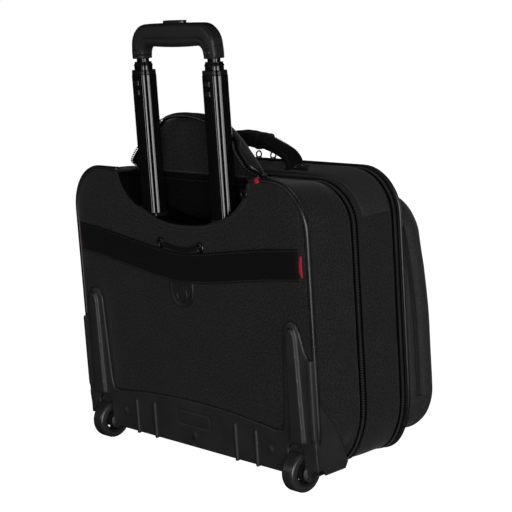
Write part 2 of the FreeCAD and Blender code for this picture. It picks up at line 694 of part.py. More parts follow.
def build_zip(label, outline, meeting_y):
    """The two tapes of a zip, each a hoop with its teeth, that meet with a hair's gap."""
    rear = (f"{meeting_y} + tape_gap", f"{meeting_y} + tape_wide")
    front = (f"{meeting_y} - tape_wide", f"{meeting_y} - tape_gap")
    piece(f"{label}_zip_rear", hoop(outline, "tape_thick", rear))
    piece(f"{label}_zip_front", hoop(outline, "tape_thick", front))


def build_shell():
    """The main compartment's front half: gusset and the divider that closes it."""
    piece("main_gusset", hoop(CASE, "wall", ("front_zip_y + tape_wide", "main_zip_y - tape_wide")))
    piece("divider_panel", hoop(case_outline("-wall"), None,
                                ("front_zip_y + tape_wide", "front_zip_y + tape_wide + panel_thick")))


def build_front():
    """The organiser compartment's front: a shallow hoop, its piping and the front panel."""
    piece("front_panel", hoop(CASE, None, ("front_panel_y", "front_panel_y + panel_thick")))
    piece("front_piping", hoop(case_outline("piping_out"), "piping_deep",
                               ("front_panel_y + panel_thick", "front_zip_y - tape_wide")))


def build_pocket():
    piece("pocket_gusset", hoop(POCKET, "inset", ("pocket_zip_y + tape_wide", "front_panel_y")))
    outer = hoop(POCKET, None, ("front_y", "pocket_zip_y - tape_wide"))
    inner_outline = tuple(f"{size} {sign} pocket_wall" for size, sign in zip(POCKET, "-+---"))
    inner = hoop(inner_outline, None, ("front_y + pocket_face", "pocket_zip_y"))
    piece("pocket_cover", cut(rounded_front(outer, "pocket_rim_round"),
                              rounded_front(inner, "pocket_rim_round - 3")))


def rounded_front(body, radius):
    """Rounds the front face's rim of a padded outline."""
    doc.recompute()
    item = doc.addObject("Part::Fillet", "rounding")
    item.Base = body
    front = body.Shape.BoundBox.YMin
    size = number(radius)
    item.Edges = [(index, size, size) for index, edge in enumerate(body.Shape.Edges, start=1)
                  if abs(edge.BoundBox.YMax - front) < 0.01]
    return item


def build_feet():
    feet, screws = [], []
    for side in (-1, 1):
        place = (sided(side, "foot_x"), "foot_y")
        feet.append(cut(
            rounded_rim(cylinder("z", "foot_radius", ("0", "case_low"), place), 2),
            cylinder("z", "foot_recess", ("0", "foot_recess_high"), place),
            cylinder("z", "foot_screw", ("foot_recess_high", "case_low"), place)))
        screws.append(fuse(
            cylinder("z", "foot_screw", ("foot_recess_high", "case_low"), place),
            cylinder("z", "foot_screw_head", ("foot_recess_high - 2.4", "foot_recess_high"), place)))
    piece("front_feet", group(*feet))
    piece("foot_screws", group(*screws))


def build_sleeve():
    """The padded laptop pocket inside the main compartment, open at its top."""
    back = "well_front_y - sleeve_back"
    outer = box(("-sleeve_half", "sleeve_half"), ("sleeve_y", back), ("sleeve_low", "sleeve_high"))
    inner = box(("-sleeve_half + sleeve_wall", "sleeve_half - sleeve_wall"),
                ("sleeve_y + sleeve_wall", f"{back} - sleeve_wall"),
                ("sleeve_low + sleeve_wall", "sleeve_high + 18"))
    piece("laptop_sleeve", cut(rounded(outer, "y", 20), inner))


# ---- flap, carry handle, band, sliders ----

def flap_outline(shrink):
    corners = [("flap_base", "flap_low"), ("flap_shoulder", "flap_low + 20"),
               ("flap_shoulder - 14", "flap_high - 32"), ("flap_crown + 6", "flap_high - 14"),
               ("flap_crown - 14", "flap_high - 3"), ("flap_crown - 34", "flap_high")]
    right = [(f"{x} - {shrink}", f"{z} - {shrink}" if step else z)
             for step, (x, z) in enumerate(corners)]
    return right + [(f"-({x})", z) for x, z in right[::-1]]


def build_flap():
    """A shallow hood hinged along its base. It stands open in front of the raised handle."""
    whole = prism("y", flap_outline(0), ("flap_y", "flap_rim_y - 4"))
    hollow = prism("y", flap_outline(3), ("flap_y + flap_thick", "flap_rim_y"))
    below = box(("-case_half", "case_half"), ("flap_y + flap_thick", "flap_rim_y + 5"),
                ("0", "flap_low + 6"))
    piece("flap_panel", cut(whole, hollow, below))
    ring = prism("y", flap_outline(0), ("flap_rim_y - 4", "flap_rim_y"))
    middle = prism("y", flap_outline(2.4), ("flap_rim_y - 5", "flap_rim_y + 1"))
    piece("flap_zip", cut(ring, middle, below))


def build_carry_handle():
    half = "carry_wide / 2"
    span = (f"carry_y - {half}", f"carry_y + {half}")
    right = [("carry_grip_half", "carry_top - carry_thick"),
             ("carry_foot - 28", "carry_pivot_z + 13"), ("carry_foot - 17", "carry_pivot_z + 8"),
             ("carry_foot + 3", "carry_pivot_z + 8"), ("carry_foot - 9", "carry_top - 15"),
             ("carry_grip_half", "carry_top")]
    left = [(f"-({x})", z) for x, z in right[::-1]]
    arch = prism("y", right + left, span)
    pivot = ("carry_y", "carry_pivot_z")
    knuckles, bores, anchors = [], [], []
    for side in (-1, 1):
        span_x = side_span(side, "carry_foot - 12", "carry_foot + 2")
        knuckles.append(cylinder("x", "carry_knuckle", span_x, pivot))
        knuckles.append(box(span_x, ("carry_y - carry_knuckle", "carry_y + carry_knuckle"),
                            ("carry_pivot_z", "carry_pivot_z + 9")))
        bores.append(cylinder("x", "carry_pin + run_gap",
                              side_span(side, "carry_foot - 20", "carry_foot + 9"), pivot))
        pin = cylinder("x", "carry_pin", side_span(side, "carry_foot - 15", "carry_foot + 5"), pivot)
        ears = [box(side_span(side, inner, f"{inner} + ear_thick"),
                    ("carry_y - ear_deep", "carry_y + ear_deep"),
                    ("case_high + 0.5", "carry_pivot_z + 4"))
                for inner in ("carry_foot - 15.5", "carry_foot + 2.5")]
        plate = box(side_span(side, "carry_foot - 18", "carry_foot + 8"),
                    ("carry_y - ear_deep - 3", "carry_y + ear_deep + 3"),
                    ("case_high", "case_high + plate_thick"))
        anchors.append(fuse(pin, plate, *ears))
    piece("carry_anchors", group(*anchors))
    piece("carry_strap", cut(fuse(arch, *knuckles), *bores))
    wrap = rounded(box(("-wrap_half", "wrap_half"),
                       (f"carry_y - {half} - wrap_skin", f"carry_y + {half} + wrap_skin"),
                       ("carry_top - carry_thick - wrap_skin", "carry_top + wrap_skin")), "x", 8)
    core = box(("-wrap_half - 1", "wrap_half + 1"),
               (f"carry_y - {half} - 0.02", f"carry_y + {half} + 0.02"),
               ("carry_top - carry_thick - 0.02", "carry_top + 0.02"))
    piece("carry_wrap", cut(wrap, core))


def build_band():
    """A wide webbing band that dips across the back panel, with its studs, tags and badge."""
    low = [("band_half", "band_end_low"), ("band_half * 0.62", "band_mid_low + 10"),
           ("band_half * 0.3", "band_mid_low + 2")]
    lower = low + [(f"-{x}", z) for x, z in low[::-1]]
    upper = [(x, f"{z} + band_wide") for x, z in lower[::-1]]
    band_y = ("back_y", "back_y + band_thick")
    piece("sleeve_band", prism("y", lower + upper, band_y))
    tags = [box(side_span(side, "band_half + 0.2", "band_half + 5"), band_y,
                ("band_end_low + 5", "band_end_low + 30")) for side in (-1, 1)]
    piece("band_tags", group(*tags))
    studs = [cylinder("y", "stud_radius", ("back_y", "back_y + stud_high"),
                      (sided(side, "stud_x"), "band_mid_low + stud_up")) for side in (-1, 1)]
    piece("band_studs", group(*[rounded_rim(stud, 1.2) for stud in studs]))
    foot = "band_mid_low - badge_deep"
    badge = box(("-badge_half", "badge_half"), band_y, (foot, "band_mid_low - 0.2"))
    piece("badge_tab", rounded(badge, "y", "badge_round", [("-badge_half", foot), ("badge_half", foot)]))


def slider_at(word, x, y, top, axis="x"):
    """A zip slider on a surface at the height top, and the ring that swings in its lug."""
    sizes = ("slider_long", "slider_wide")
    long_way, short_way = sizes if axis == "x" else sizes[::-1]
    base = f"{top} + 0.4"
    lug_top = f"{base} + slider_high + 4"
    hole_z = f"{base} + slider_high + 1.6"
    body = box((f"{x} - {long_way} / 2", f"{x} + {long_way} / 2"),
               (f"{y} - {short_way} / 2", f"{y} + {short_way} / 2"), (base, f"{base} + slider_high"))
    lug = box((f"{x} - 1.8", f"{x} + 1.8"), (f"{y} - 1.8", f"{y} + 1.8"),
              (f"{base} + slider_high - 0.5", lug_top))
    cross = "y" if axis == "x" else "x"
    centre = {"x": (y, hole_z), "y": (x, hole_z)}[cross]
    span = {"x": (f"{x} - 5", f"{x} + 5"), "y": (f"{y} - 5", f"{y} + 5")}[cross]
    piece(f"{word}_slider", cut(fuse(rounded(body, "z", 2), lug), cylinder(cross, "1.5", span, centre)))
    ring = doc.addObject("Part::Torus", "ring")
    flat = "x" if axis == "x" else "y"
    ring.Placement = FreeCAD.Placement(FreeCAD.Vector(), TURN[flat])
    bind(ring, {"Radius1": "ring_radius", "Radius2": "ring_wire", "Placement.Base.x": x,
                "Placement.Base.y": y, "Placement.Base.z": f"{hole_z} + ring_radius"})
    piece(f"{word}_pull", ring)


def main():
    build_back()
    build_well()
    build_guard()
    build_guard_screws()
    for side, word in ((-1, "left"), (1, "right")):
        build_wheel(side, word)
    piece("axle_bolts", mirrored(axle_bolt))
    build_tubes()
    build_grip()
    build_button_spring()
    build_zip("main", MAIN_ZIP, "main_zip_y")
    build_zip("front", CASE, "front_zip_y")
    build_zip("pocket", POCKET, "pocket_zip_y")
    build_shell()
    build_front()
    build_pocket()
    build_feet()
    build_sleeve()
    build_flap()
    build_carry_handle()
    build_band()
    slider_at("main", "14", "main_zip_y", "case_high - zip_dip")
    slider_at("front", "16", "front_zip_y", "case_high")
    slider_at("pocket", "12", "pocket_zip_y", "pocket_high")
    slider_at("flap", "-well_half - 8", "back_y - 16", "case_high", "y")

    doc.recompute()
    for item in doc.Objects:
        if "Invalid" in item.State or "Error" in item.State:
            raise RuntimeError(f"{item.Name} ({item.Label}) failed: {item.State}")
    os.makedirs("parts", exist_ok=True)
    for label, item in PIECES.items():
        if item.Shape.isNull() or not item.Shape.isValid():
            raise RuntimeError(f"{label} has no valid shape")
    for label, item in PIECES.items():
        item.Shape.exportStep(f"parts/{label}.step")
    print(len(PIECES), "pieces")


main()
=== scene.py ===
import math
from contextlib import contextmanager

import bmesh
import bpy
import numpy as np
from mathutils import Matrix, Vector, noise


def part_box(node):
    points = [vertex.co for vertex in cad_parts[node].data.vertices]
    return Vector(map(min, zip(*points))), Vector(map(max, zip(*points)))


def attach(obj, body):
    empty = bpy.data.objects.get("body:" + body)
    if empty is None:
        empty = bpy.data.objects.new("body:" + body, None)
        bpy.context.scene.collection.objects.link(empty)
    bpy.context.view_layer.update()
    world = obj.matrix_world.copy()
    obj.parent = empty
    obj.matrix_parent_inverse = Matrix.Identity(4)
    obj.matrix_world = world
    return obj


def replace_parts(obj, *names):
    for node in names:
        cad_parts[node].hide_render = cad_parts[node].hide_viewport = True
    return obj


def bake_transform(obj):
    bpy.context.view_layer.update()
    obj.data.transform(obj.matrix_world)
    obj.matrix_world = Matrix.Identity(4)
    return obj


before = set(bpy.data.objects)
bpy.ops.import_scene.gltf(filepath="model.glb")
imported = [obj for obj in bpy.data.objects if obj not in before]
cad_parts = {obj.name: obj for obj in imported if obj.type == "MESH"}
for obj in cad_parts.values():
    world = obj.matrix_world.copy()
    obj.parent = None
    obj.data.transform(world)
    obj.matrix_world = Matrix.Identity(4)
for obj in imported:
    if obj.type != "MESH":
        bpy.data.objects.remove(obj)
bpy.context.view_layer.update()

# Lengths below are in millimetres, as on the CAD, and become metres when a mesh is made.
MM = 0.001
UP = np.array([0.0, 0.0, 1.0])


def box_mm(node):
    low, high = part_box(node)
    return np.array(low) / MM, np.array(high) / MM


# ---- sizes read off the frame, and the soft shape's own ----

def zip_place(label):
    """Where a zip's teeth run along Y: midway between its two tapes."""
    return (box_mm(f"{label}_zip_rear")[0][1] + box_mm(f"{label}_zip_front")[1][1]) / 2


back_low, back_high = box_mm("back_panel")
HALF, LOW, HIGH, BACK = back_high[0], back_low[2], back_high[2], back_high[1]
R_LOW, R_TOP = 56.0, 52.0
MAIN_ZIP, FRONT_ZIP, POCKET_ZIP = zip_place("main"), zip_place("front"), zip_place("pocket")
DIP = HIGH - box_mm("main_zip_rear")[1][2]
TAPE = 6.0
PANEL_FRONT = box_mm("front_panel")[0][1]
pocket_low, pocket_high = box_mm("pocket_cover")
P_HALF, P_LOW, P_HIGH, P_ROUND = pocket_high[0], pocket_low[2], pocket_high[2], 46.0
WELL_HALF, WELL_DEEP, WELL_TOP = 124.0, 64.0, 370.0
WELL_WALL = 61.5
HANDLE_X = 67.0
WHEEL_X = (box_mm("tyre_right")[0][0] + box_mm("tyre_right")[1][0]) / 2
SIDES = ((-1, "left"), (1, "right"))


# ---- small geometry tools ----

def table(value, rows):
    """Smooth value between rows of (place, value)."""
    places, amounts = zip(*sorted(rows))
    return np.interp(value, places, amounts)


def smooth(t):
    t = np.clip(t, 0, 1)
    return t * t * (3 - 2 * t)


def wobble(points, size, amount, seed=0.0):
    """Slow unevenness, as worn cloth has, in millimetres."""
    shift = Vector((seed, seed * 1.7, seed * 0.3))
    return np.array([noise.noise(Vector(p) / size + shift) for p in points]) * amount


def stood(flat, y):
    """Points (x, z) stood up at y, which is one value or one per point."""
    return np.column_stack([flat[:, 0], np.broadcast_to(y, len(flat)), flat[:, 1]])


def mirrored(half, shared=0):
    """A half outline (x, z), then its mirror image without the points that they share."""
    half = np.array(half, float)
    return np.vstack([half, half[:len(half) - shared][::-1] * (-1, 1)])


def drawn_in(loop, middle, levels):
    """Rings of a flat outline drawn in towards its middle. levels: (share of the way in, y)."""
    middle = np.asarray(middle, float)
    return np.array([stood(loop + (middle - loop) * share, y) for share, y in levels])


def make(name, verts, faces, body, mats, uvs=None, shade=True):
    """A mesh piece in the part's frame. verts in millimetres, uvs one pair in metres per face corner."""
    mesh = bpy.data.meshes.new(name)
    mesh.from_pydata((np.asarray(verts, float) * MM).tolist(), [], [list(f) for f in faces])
    if uvs is not None:
        layer = mesh.uv_layers.new(name="UVMap")
        layer.data.foreach_set("uv", np.asarray(uvs, np.float32).ravel())
    for mat in mats if isinstance(mats, list) else [mats]:
        mesh.materials.append(mat)
    if shade:
        mesh.polygons.foreach_set("use_smooth", [True] * len(mesh.polygons))
    mesh.validate()
    mesh.update()
    obj = bpy.data.objects.new(name, mesh)
    bpy.context.scene.collection.objects.link(obj)
    if body:
        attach(obj, body)
    return obj


def grid_faces(rows, cols, closed_v=False, closed_u=False, skip=None):
    """Quads over a grid of points, and the grid cell of each corner for its UV."""
    faces, cells = [], []
    for i in range(rows if closed_u else rows - 1):
        for j in range(cols if closed_v else cols - 1):
            if skip is not None and skip(i, j):
                continue
            corners = [(i, j), (i, j + 1), (i + 1, j + 1), (i + 1, j)]
            faces.append([(a % rows) * cols + b % cols for a, b in corners])
            cells.extend(corners)
    return faces, cells


def face_uv(point):
    """The UV of a panel that is cut flat: its x and z."""
    return point[0], point[2]


def grid(name, points, body, mats, closed_v=False, closed_u=False, skip=None, flip=False,
         uv=None):
    """A surface over a grid of points [row, column]. Its UV follows the lengths along the grid."""
    points = np.asarray(points, float)
    rows, cols = points.shape[:2]
    faces, cells = grid_faces(rows, cols, closed_v, closed_u, skip)
    if uv is None:
        wrap_v = np.concatenate([points, points[:, :1]], 1)
        wrap_u = np.concatenate([points, points[:1]], 0)
        along = np.median(np.linalg.norm(np.diff(wrap_v, axis=1), axis=2), axis=0)
        across = np.median(np.linalg.norm(np.diff(wrap_u, axis=0), axis=2), axis=1)
        u = np.concatenate([[0], np.cumsum(along)])
        v = np.concatenate([[0], np.cumsum(across)])
        uvs = np.array([(u[j], v[i]) for i, j in cells]) * MM
    else:
        uvs = np.array([uv(points[i % rows, j % cols]) for i, j in cells]) * MM
    if flip:
        faces = [f[::-1] for f in faces]
        uvs = uvs.reshape(-1, 4, 2)[:, ::-1].reshape(-1, 2)
    return make(name, points.reshape(-1, 3), faces, body, mats, uvs)


def add(obj, kind, **settings):
    mod = obj.modifiers.new(kind.lower(), kind)
    for key, value in settings.items():
        setattr(mod, key, value)
    return mod


def thicken(obj, thick, offset=-1.0):
    """Gives a sheet its thickness, with its last material inside."""
    add(obj, "SOLIDIFY", thickness=thick * MM, offset=offset, use_even_offset=False,
        material_offset=len(obj.data.materials) - 1, material_offset_rim=0)


def bake(obj):
    """Applies the object's modifiers."""
    depsgraph = bpy.context.evaluated_depsgraph_get()
    mesh = bpy.data.meshes.new_from_object(obj.evaluated_get(depsgraph), depsgraph=depsgraph)
    obj.modifiers.clear()
    obj.data = mesh


@contextmanager
def editing(obj):
    """The object's mesh, open for editing."""
    mesh = bmesh.new()
    mesh.from_mesh(obj.data)
    yield mesh
    mesh.to_mesh(obj.data)
    mesh.free()


def close_up(obj, last=0, holes=False, agree=True, facing=0):
    """Fills the ring of the last points, or every hole, and makes the faces agree, and face along Y or -Y."""
    with editing(obj) as mesh:
        if last:
            mesh.verts.ensure_lookup_table()
            bmesh.ops.contextual_create(mesh, geom=mesh.verts[-last:])
        if holes:
            bmesh.ops.holes_fill(mesh, edges=[e for e in mesh.edges if e.is_boundary], sides=0)
        if agree:
            bmesh.ops.recalc_face_normals(mesh, faces=mesh.faces)
        if facing * sum(f.normal.y * f.calc_area() for f in mesh.faces) < 0:
            bmesh.ops.reverse_faces(mesh, faces=mesh.faces)


def resample(path, step, closed=False):
    """Points at even steps along a polyline, with their tangents."""
    path = np.asarray(path, float)
    if closed:
        path = np.vstack([path, path[:1]])
    lengths = np.concatenate([[0], np.cumsum(np.linalg.norm(np.diff(path, axis=0), axis=1))])
    count = max(2, int(round(lengths[-1] / step)))
    places = np.linspace(0, lengths[-1], count + 1)[:-1] if closed else np.linspace(0, lengths[-1], count)

    def at(distances):
        return np.stack([np.interp(distances, lengths, column) for column in path.T], 1)
    return at(places), unit(at(places + 0.5) - at(places - 0.5))


def spline(points, per=8):
    """A smooth curve through points (Catmull-Rom)."""
    p = np.asarray(points, float)
    p = np.vstack([2 * p[0] - p[1], p, 2 * p[-1] - p[-2]])
    out = []
    for k in range(1, len(p) - 2):
        for t in np.arange(per) / per:
            out.append(0.5 * (2 * p[k] + (p[k + 1] - p[k - 1]) * t
                              + (2 * p[k - 1] - 5 * p[k] + 4 * p[k + 1] - p[k + 2]) * t ** 2
                              + (3 * p[k] - p[k - 1] - 3 * p[k + 1] + p[k + 2]) * t ** 3))
    return np.array(out + [p[-2]])


def unit(v):
    return v / np.maximum(np.linalg.norm(v, axis=-1, keepdims=True), 1e-9)


def sweep(name, path, section, outward, body, mats, closed=False):
    """A section [(across, out), ...] carried along a path. outward is a direction, or one per point."""
    path = np.asarray(path, float)
    if closed:
        tangent = np.roll(path, -1, 0) - np.roll(path, 1, 0)
    else:
        tangent = np.gradient(path, axis=0)
    tangent = unit(tangent)
    outward = np.broadcast_to(np.asarray(outward, float), path.shape)
    side = unit(np.cross(outward, tangent))
    out = np.cross(tangent, side)
    section = np.asarray(section, float)
    if section.ndim == 2:
        section = np.broadcast_to(section, (len(path),) + section.shape)
    points = (path[:, None] + section[..., 0:1] * side[:, None] + section[..., 1:2] * out[:, None])
    obj = grid(name, points, body, mats, closed_v=True, closed_u=closed)
    if not closed:
        close_up(obj, holes=True)
    return obj


def round_section(radius, count=10):
    turn = np.arange(count) * 2 * math.pi / count
    return np.stack([radius * np.cos(turn), radius * np.sin(turn)], 1)


def slab_section(wide, thick, edge=0.5):
    """A flat strap's section with softened edges."""
    a, b = wide / 2, thick / 2
    e = min(edge, b * 0.9)
    under = [(-a, -b + e), (-a + e, -b), (0, -b), (a - e, -b), (a, -b + e)]
    return np.array(under + [(x, -z) for x, z in under[::-1]])


def scatter(name, places, tangents, outs, solid, body, mat):
    """Copies of a small solid. Its local axes: x along the tangent, z out, y across."""
    verts, faces = solid
    side = np.cross(outs, tangents)
    points = (places[:, None] + verts[None, :, 0:1] * tangents[:, None] + verts[None, :, 1:2] * side[:, None]
              + verts[None, :, 2:3] * outs[:, None]).reshape(-1, 3)
    all_faces = [[k * len(verts) + v for v in f] for k in range(len(places)) for f in faces]
    return make(name, points, all_faces, body, mat, shade=False)


def block(x, y, z, top=0.7):
    """Vertices and faces of a small block that narrows to its top."""
    verts = [(sx * x / 2 * k, sy * y / 2 * k, h) for h, k in ((0, 1.0), (z, top))
             for sx, sy in ((-1, -1), (1, -1), (1, 1), (-1, 1))]
    faces = [(3, 2, 1, 0), (4, 5, 6, 7), (0, 1, 5, 4), (1, 2, 6, 5), (2, 3, 7, 6), (3, 0, 4, 7)]
    return np.array(verts), faces


def outs_at(points, tangents, path, outward):
    """Outward directions square to a path. outward is one direction, or one per point of the path."""
    outward = np.broadcast_to(np.asarray(outward, float), path.shape)
    nearest = [np.argmin(((path - p) ** 2).sum(1)) for p in points]
    outs = unit(outward[nearest])
    return unit(outs - (outs * tangents).sum(1)[:, None] * tangents)


STITCH_PITCH, STITCH_LONG, STITCH_WIDE = 3.6, 2.5, 0.55


def stitches(name, path, outward, body, closed=False):
    """A row of stitches along a path on a surface."""
    points, tangents = resample(path, STITCH_PITCH, closed)
    outs = outs_at(points, tangents, path, outward)
    solid = block(STITCH_LONG, STITCH_WIDE, STITCH_WIDE * 0.8, 0.6)
    scatter(name, points - outs * 0.1, tangents, outs, solid, body, THREAD)


# ---- outlines of the case ----

# points along each stretch of an outline: half the foot, a corner, a side, the top beside the well, and over it
FOOT_STEPS, ARC_STEPS, SIDE_STEPS, RIM_STEPS, WELL_STEPS = 14, 16, 34, 4, 28


def outline(half, low, high, r_low, r_top, notch=WELL_HALF):
    """A rounded rectangle (x, z) from the middle of its foot, and its outward normals."""
    points, normals = [], []

    def line(a, b, count, normal):
        for k in range(count):
            points.append((a[0] + (b[0] - a[0]) * k / count, a[1] + (b[1] - a[1]) * k / count))
            normals.append(normal)

    def arc(cx, cz, r, start):
        for t in np.radians(start + 90 * np.arange(ARC_STEPS) / ARC_STEPS):
            points.append((cx + r * math.cos(t), cz + r * math.sin(t)))
            normals.append((math.cos(t), math.sin(t)))

    fl, ft = half - r_low, half - r_top
    line((0, low), (fl, low), FOOT_STEPS, (0, -1))
    arc(fl, low + r_low, r_low, -90)
    line((half, low + r_low), (half, high - r_top), SIDE_STEPS, (1, 0))
    arc(ft, high - r_top, r_top, 0)
    line((ft, high), (notch, high), RIM_STEPS, (0, 1))
    line((notch, high), (-notch, high), WELL_STEPS, (0, 1))
    line((-notch, high), (-ft, high), RIM_STEPS, (0, 1))
    arc(-ft, high - r_top, r_top, 90)
    line((-half, high - r_top), (-half, low + r_low), SIDE_STEPS, (-1, 0))
    arc(-fl, low + r_low, r_low, 180)
    line((-fl, low), (0, low), FOOT_STEPS, (0, -1))
    return np.array(points), np.array(normals)


CASE_P, CASE_N = outline(HALF, LOW, HIGH, R_LOW, R_TOP)
POCKET_P, POCKET_N = outline(P_HALF, P_LOW, P_HIGH, P_ROUND, P_ROUND)
CASE_OUT, POCKET_OUT = stood(CASE_N, 0.0), stood(POCKET_N, 0.0)
NOTCH_FROM = FOOT_STEPS + SIDE_STEPS + 2 * ARC_STEPS + RIM_STEPS
NOTCH_TO = NOTCH_FROM + WELL_STEPS

# along Y: how far the top rises, the sides swell, the foot hangs and the foot's corners draw in
TOP_LINE = [(-70, 0), (-52, 0), (-46, 1.2), (-30, 1.4), (-15, 0.6), (2, -1.5), (13, -4.6), (MAIN_ZIP, -DIP),
            (27, -4.4), (40, -1.0), (62, 1.0), (90, 2.6), (110, 2.8)]
SIDE_LINE = [(-70, 1.0), (-58, 1.6), (-52, 1.4), (-46, 2.4), (-15, 4.6), (12, 2.6), (MAIN_ZIP, 2.2), (28, 2.6),
             (55, 3.6), (90, 1.6), (99, 1.0), (110, 1.0)]
SAG_LINE = [(-70, 13), (-52, 14), (-30, 13.5), (0, 12.5), (MAIN_ZIP, 10.5), (31, 6), (42, 0), (110, 0)]
INSET_LINE = [(-70, 3), (-52, 4), (0, 6), (MAIN_ZIP, 6), (34, 3), (50, 0), (110, 0)]



def near_top(z):
    return smooth((z - 300) / 66)


def open_top(ring):
    """A closed ring's points without those over the handle well, from its left rim round to its right."""
    return ring[np.r_[NOTCH_TO:len(ring), 0:NOTCH_FROM + 1]]


def case_ring(y, out=0.0):
    """The case's cross-section at y, swollen and dipped as the filled cloth is."""
    y = np.broadcast_to(np.asarray(y, float), len(CASE_P))
    side = table(y, SIDE_LINE)
    lift = table(y, TOP_LINE)
    level = near_top(CASE_P[:, 1])
    under = smooth((70 - CASE_P[:, 1]) / 40)
    grow = side * (1 - level) * (1 - 0.8 * under) + out
    hang = smooth((125 - CASE_P[:, 1]) / 95) ** 1.5
    corner = np.exp(-((CASE_P[:, 1] - 55) / 24) ** 2) * (np.abs(CASE_P[:, 0]) > 150)
    x = CASE_P[:, 0] + CASE_N[:, 0] * grow - np.sign(CASE_P[:, 0]) * corner * table(y, INSET_LINE)
    z = CASE_P[:, 1] + CASE_N[:, 1] * grow + lift * level - hang * table(y, SAG_LINE)
    return np.stack([x, y, z], 1)


# ---- materials ----

def principled(name, color, rough, metallic=0.0, sheen=0.0, level=0.5):
    mat = bpy.data.materials.new(name)
    mat.use_nodes = True
    bsdf = mat.node_tree.nodes["Principled BSDF"]
    values = {"Base Color": (*color, 1), "Roughness": rough, "Metallic": metallic, "Sheen Weight": sheen,
              "Sheen Roughness": 0.4, "Specular IOR Level": level}
    for key, value in values.items():
        bsdf.inputs[key].default_value = value
    return mat, mat.node_tree, bsdf


def node(tree, kind, inputs=None, **attributes):
    made = tree.nodes.new("ShaderNode" + kind)
    for key, value in attributes.items():
        setattr(made, key, value)
    for key, value in (inputs or {}).items():
        if isinstance(value, bpy.types.NodeSocket):
            tree.links.new(value, made.inputs[key])
        else:
            made.inputs[key].default_value = value
    return made


def math_node(tree, operation, a, b=0.0):
    return node(tree, "Math", {0: a, 1: b}, operation=operation).outputs[0]

def times(tree, a, b):
    return math_node(tree, "MULTIPLY", a, b)


def place(tree, kind):
    """Coordinates in metres: along the cloth (UV) or in the part's own frame (Object)."""
    return node(tree, "TexCoord").outputs[kind]


def noise_at(tree, where, scale, detail=3.0, rough=0.55):
    return node(tree, "TexNoise", {"Vector": where, "Scale": scale, "Detail": detail,
                                   "Roughness": rough}).outputs["Fac"]


def ramp(tree, value, low, high, start=0.3, end=0.7):
    made = node(tree, "MapRange", {"Value": value, "From Min": start, "From Max": end, "To Min": low,
                                   "To Max": high})
    return made.outputs["Result"]

def dress(tree, bsdf, color, factor, rough, height, strength, distance=0.0003):
    """Gives the shader its colour times a factor, its roughness and its relief."""
    mixed = node(tree, "VectorMath", {0: color, 1: factor}, operation="MULTIPLY")
    relief = node(tree, "Bump", {"Height": height, "Strength": strength, "Distance": distance})
    for key, value in (("Base Color", mixed.outputs[0]), ("Roughness", rough), ("Normal", relief.outputs[0])):
        tree.links.new(value, bsdf.inputs[key])


def cloth(name, color, pitch=0.0012, rough=0.85, sheen=0.15, speckle=0.26, level=0.25):
    """Woven cloth: threads in colour and relief, fibre noise and slow shading."""
    mat, tree, bsdf = principled(name, color, rough, sheen=sheen, level=level)
    where = place(tree, "UV")
    parts = node(tree, "SeparateXYZ", {0: where})
    warp, weft = [math_node(tree, "SINE", times(tree, parts.outputs[axis], math.pi / pitch)) for axis in "XY"]
    over = times(tree, warp, weft)
    height = math_node(tree, "POWER", math_node(tree, "ABSOLUTE", over), 0.5)
    fibre = noise_at(tree, where, 900, 2.0)
    fleck = noise_at(tree, where, 420, 2.0, 0.6)
    cloud = ramp(tree, noise_at(tree, where, 14, 4.0), 0.86, 1.14)
    threads = ramp(tree, over, 1 - speckle * 0.5, 1 + speckle * 0.5, -1, 1)
    grain = times(tree, ramp(tree, fibre, 1 - speckle, 1 + speckle),
                  ramp(tree, fleck, 1 - 2.4 * speckle, 1 + 2.4 * speckle, 0.35, 0.65))
    dress(tree, bsdf, color, times(tree, times(tree, threads, grain), cloud),
          ramp(tree, fibre, rough - 0.07, min(rough + 0.07, 1.0)),
          math_node(tree, "ADD", height, times(tree, fibre, 0.5)), 0.4)
    return mat


def ribbed(name, color, pitch=0.0016, rough=0.7, sheen=0.1, level=0.3):
    """Webbing: fine ribs along its length, crossed by smaller weft."""
    mat, tree, bsdf = principled(name, color, rough, sheen=sheen, level=level)
    where = place(tree, "UV")
    parts = node(tree, "SeparateXYZ", {0: where})
    rib = math_node(tree, "SINE", times(tree, parts.outputs["Y"], 2 * math.pi / pitch))
    weft = math_node(tree, "SINE", times(tree, parts.outputs["X"], 2 * math.pi / 0.0011))
    height = math_node(tree, "ADD", rib, times(tree, weft, 0.5))
    fibre = noise_at(tree, where, 700, 2.0)
    factor = times(tree, ramp(tree, height, 0.8, 1.15, -1.5, 1.5), ramp(tree, fibre, 0.85, 1.15))
    dress(tree, bsdf, color, factor, ramp(tree, fibre, rough - 0.05, rough + 0.08), height, 0.4)
    return mat


def moulded(name, color, rough, grain=900.0, bump=0.15, level=0.5, metallic=0.0):
    """Moulded or painted surface: fine grain and handling marks."""
    mat, tree, bsdf = principled(name, color, rough, metallic=metallic, level=level)
    where = place(tree, "Object")
    fine = noise_at(tree, where, grain, 2.0)
    slow = noise_at(tree, where, 22, 4.0)
    factor = times(tree, ramp(tree, slow, 0.88, 1.12), ramp(tree, fine, 0.95, 1.05))
    spread = ramp(tree, slow, max(rough - 0.08, 0.02), min(rough + 0.08, 1.0))
    dress(tree, bsdf, color, factor, spread, fine, bump, 0.0002)
    return mat


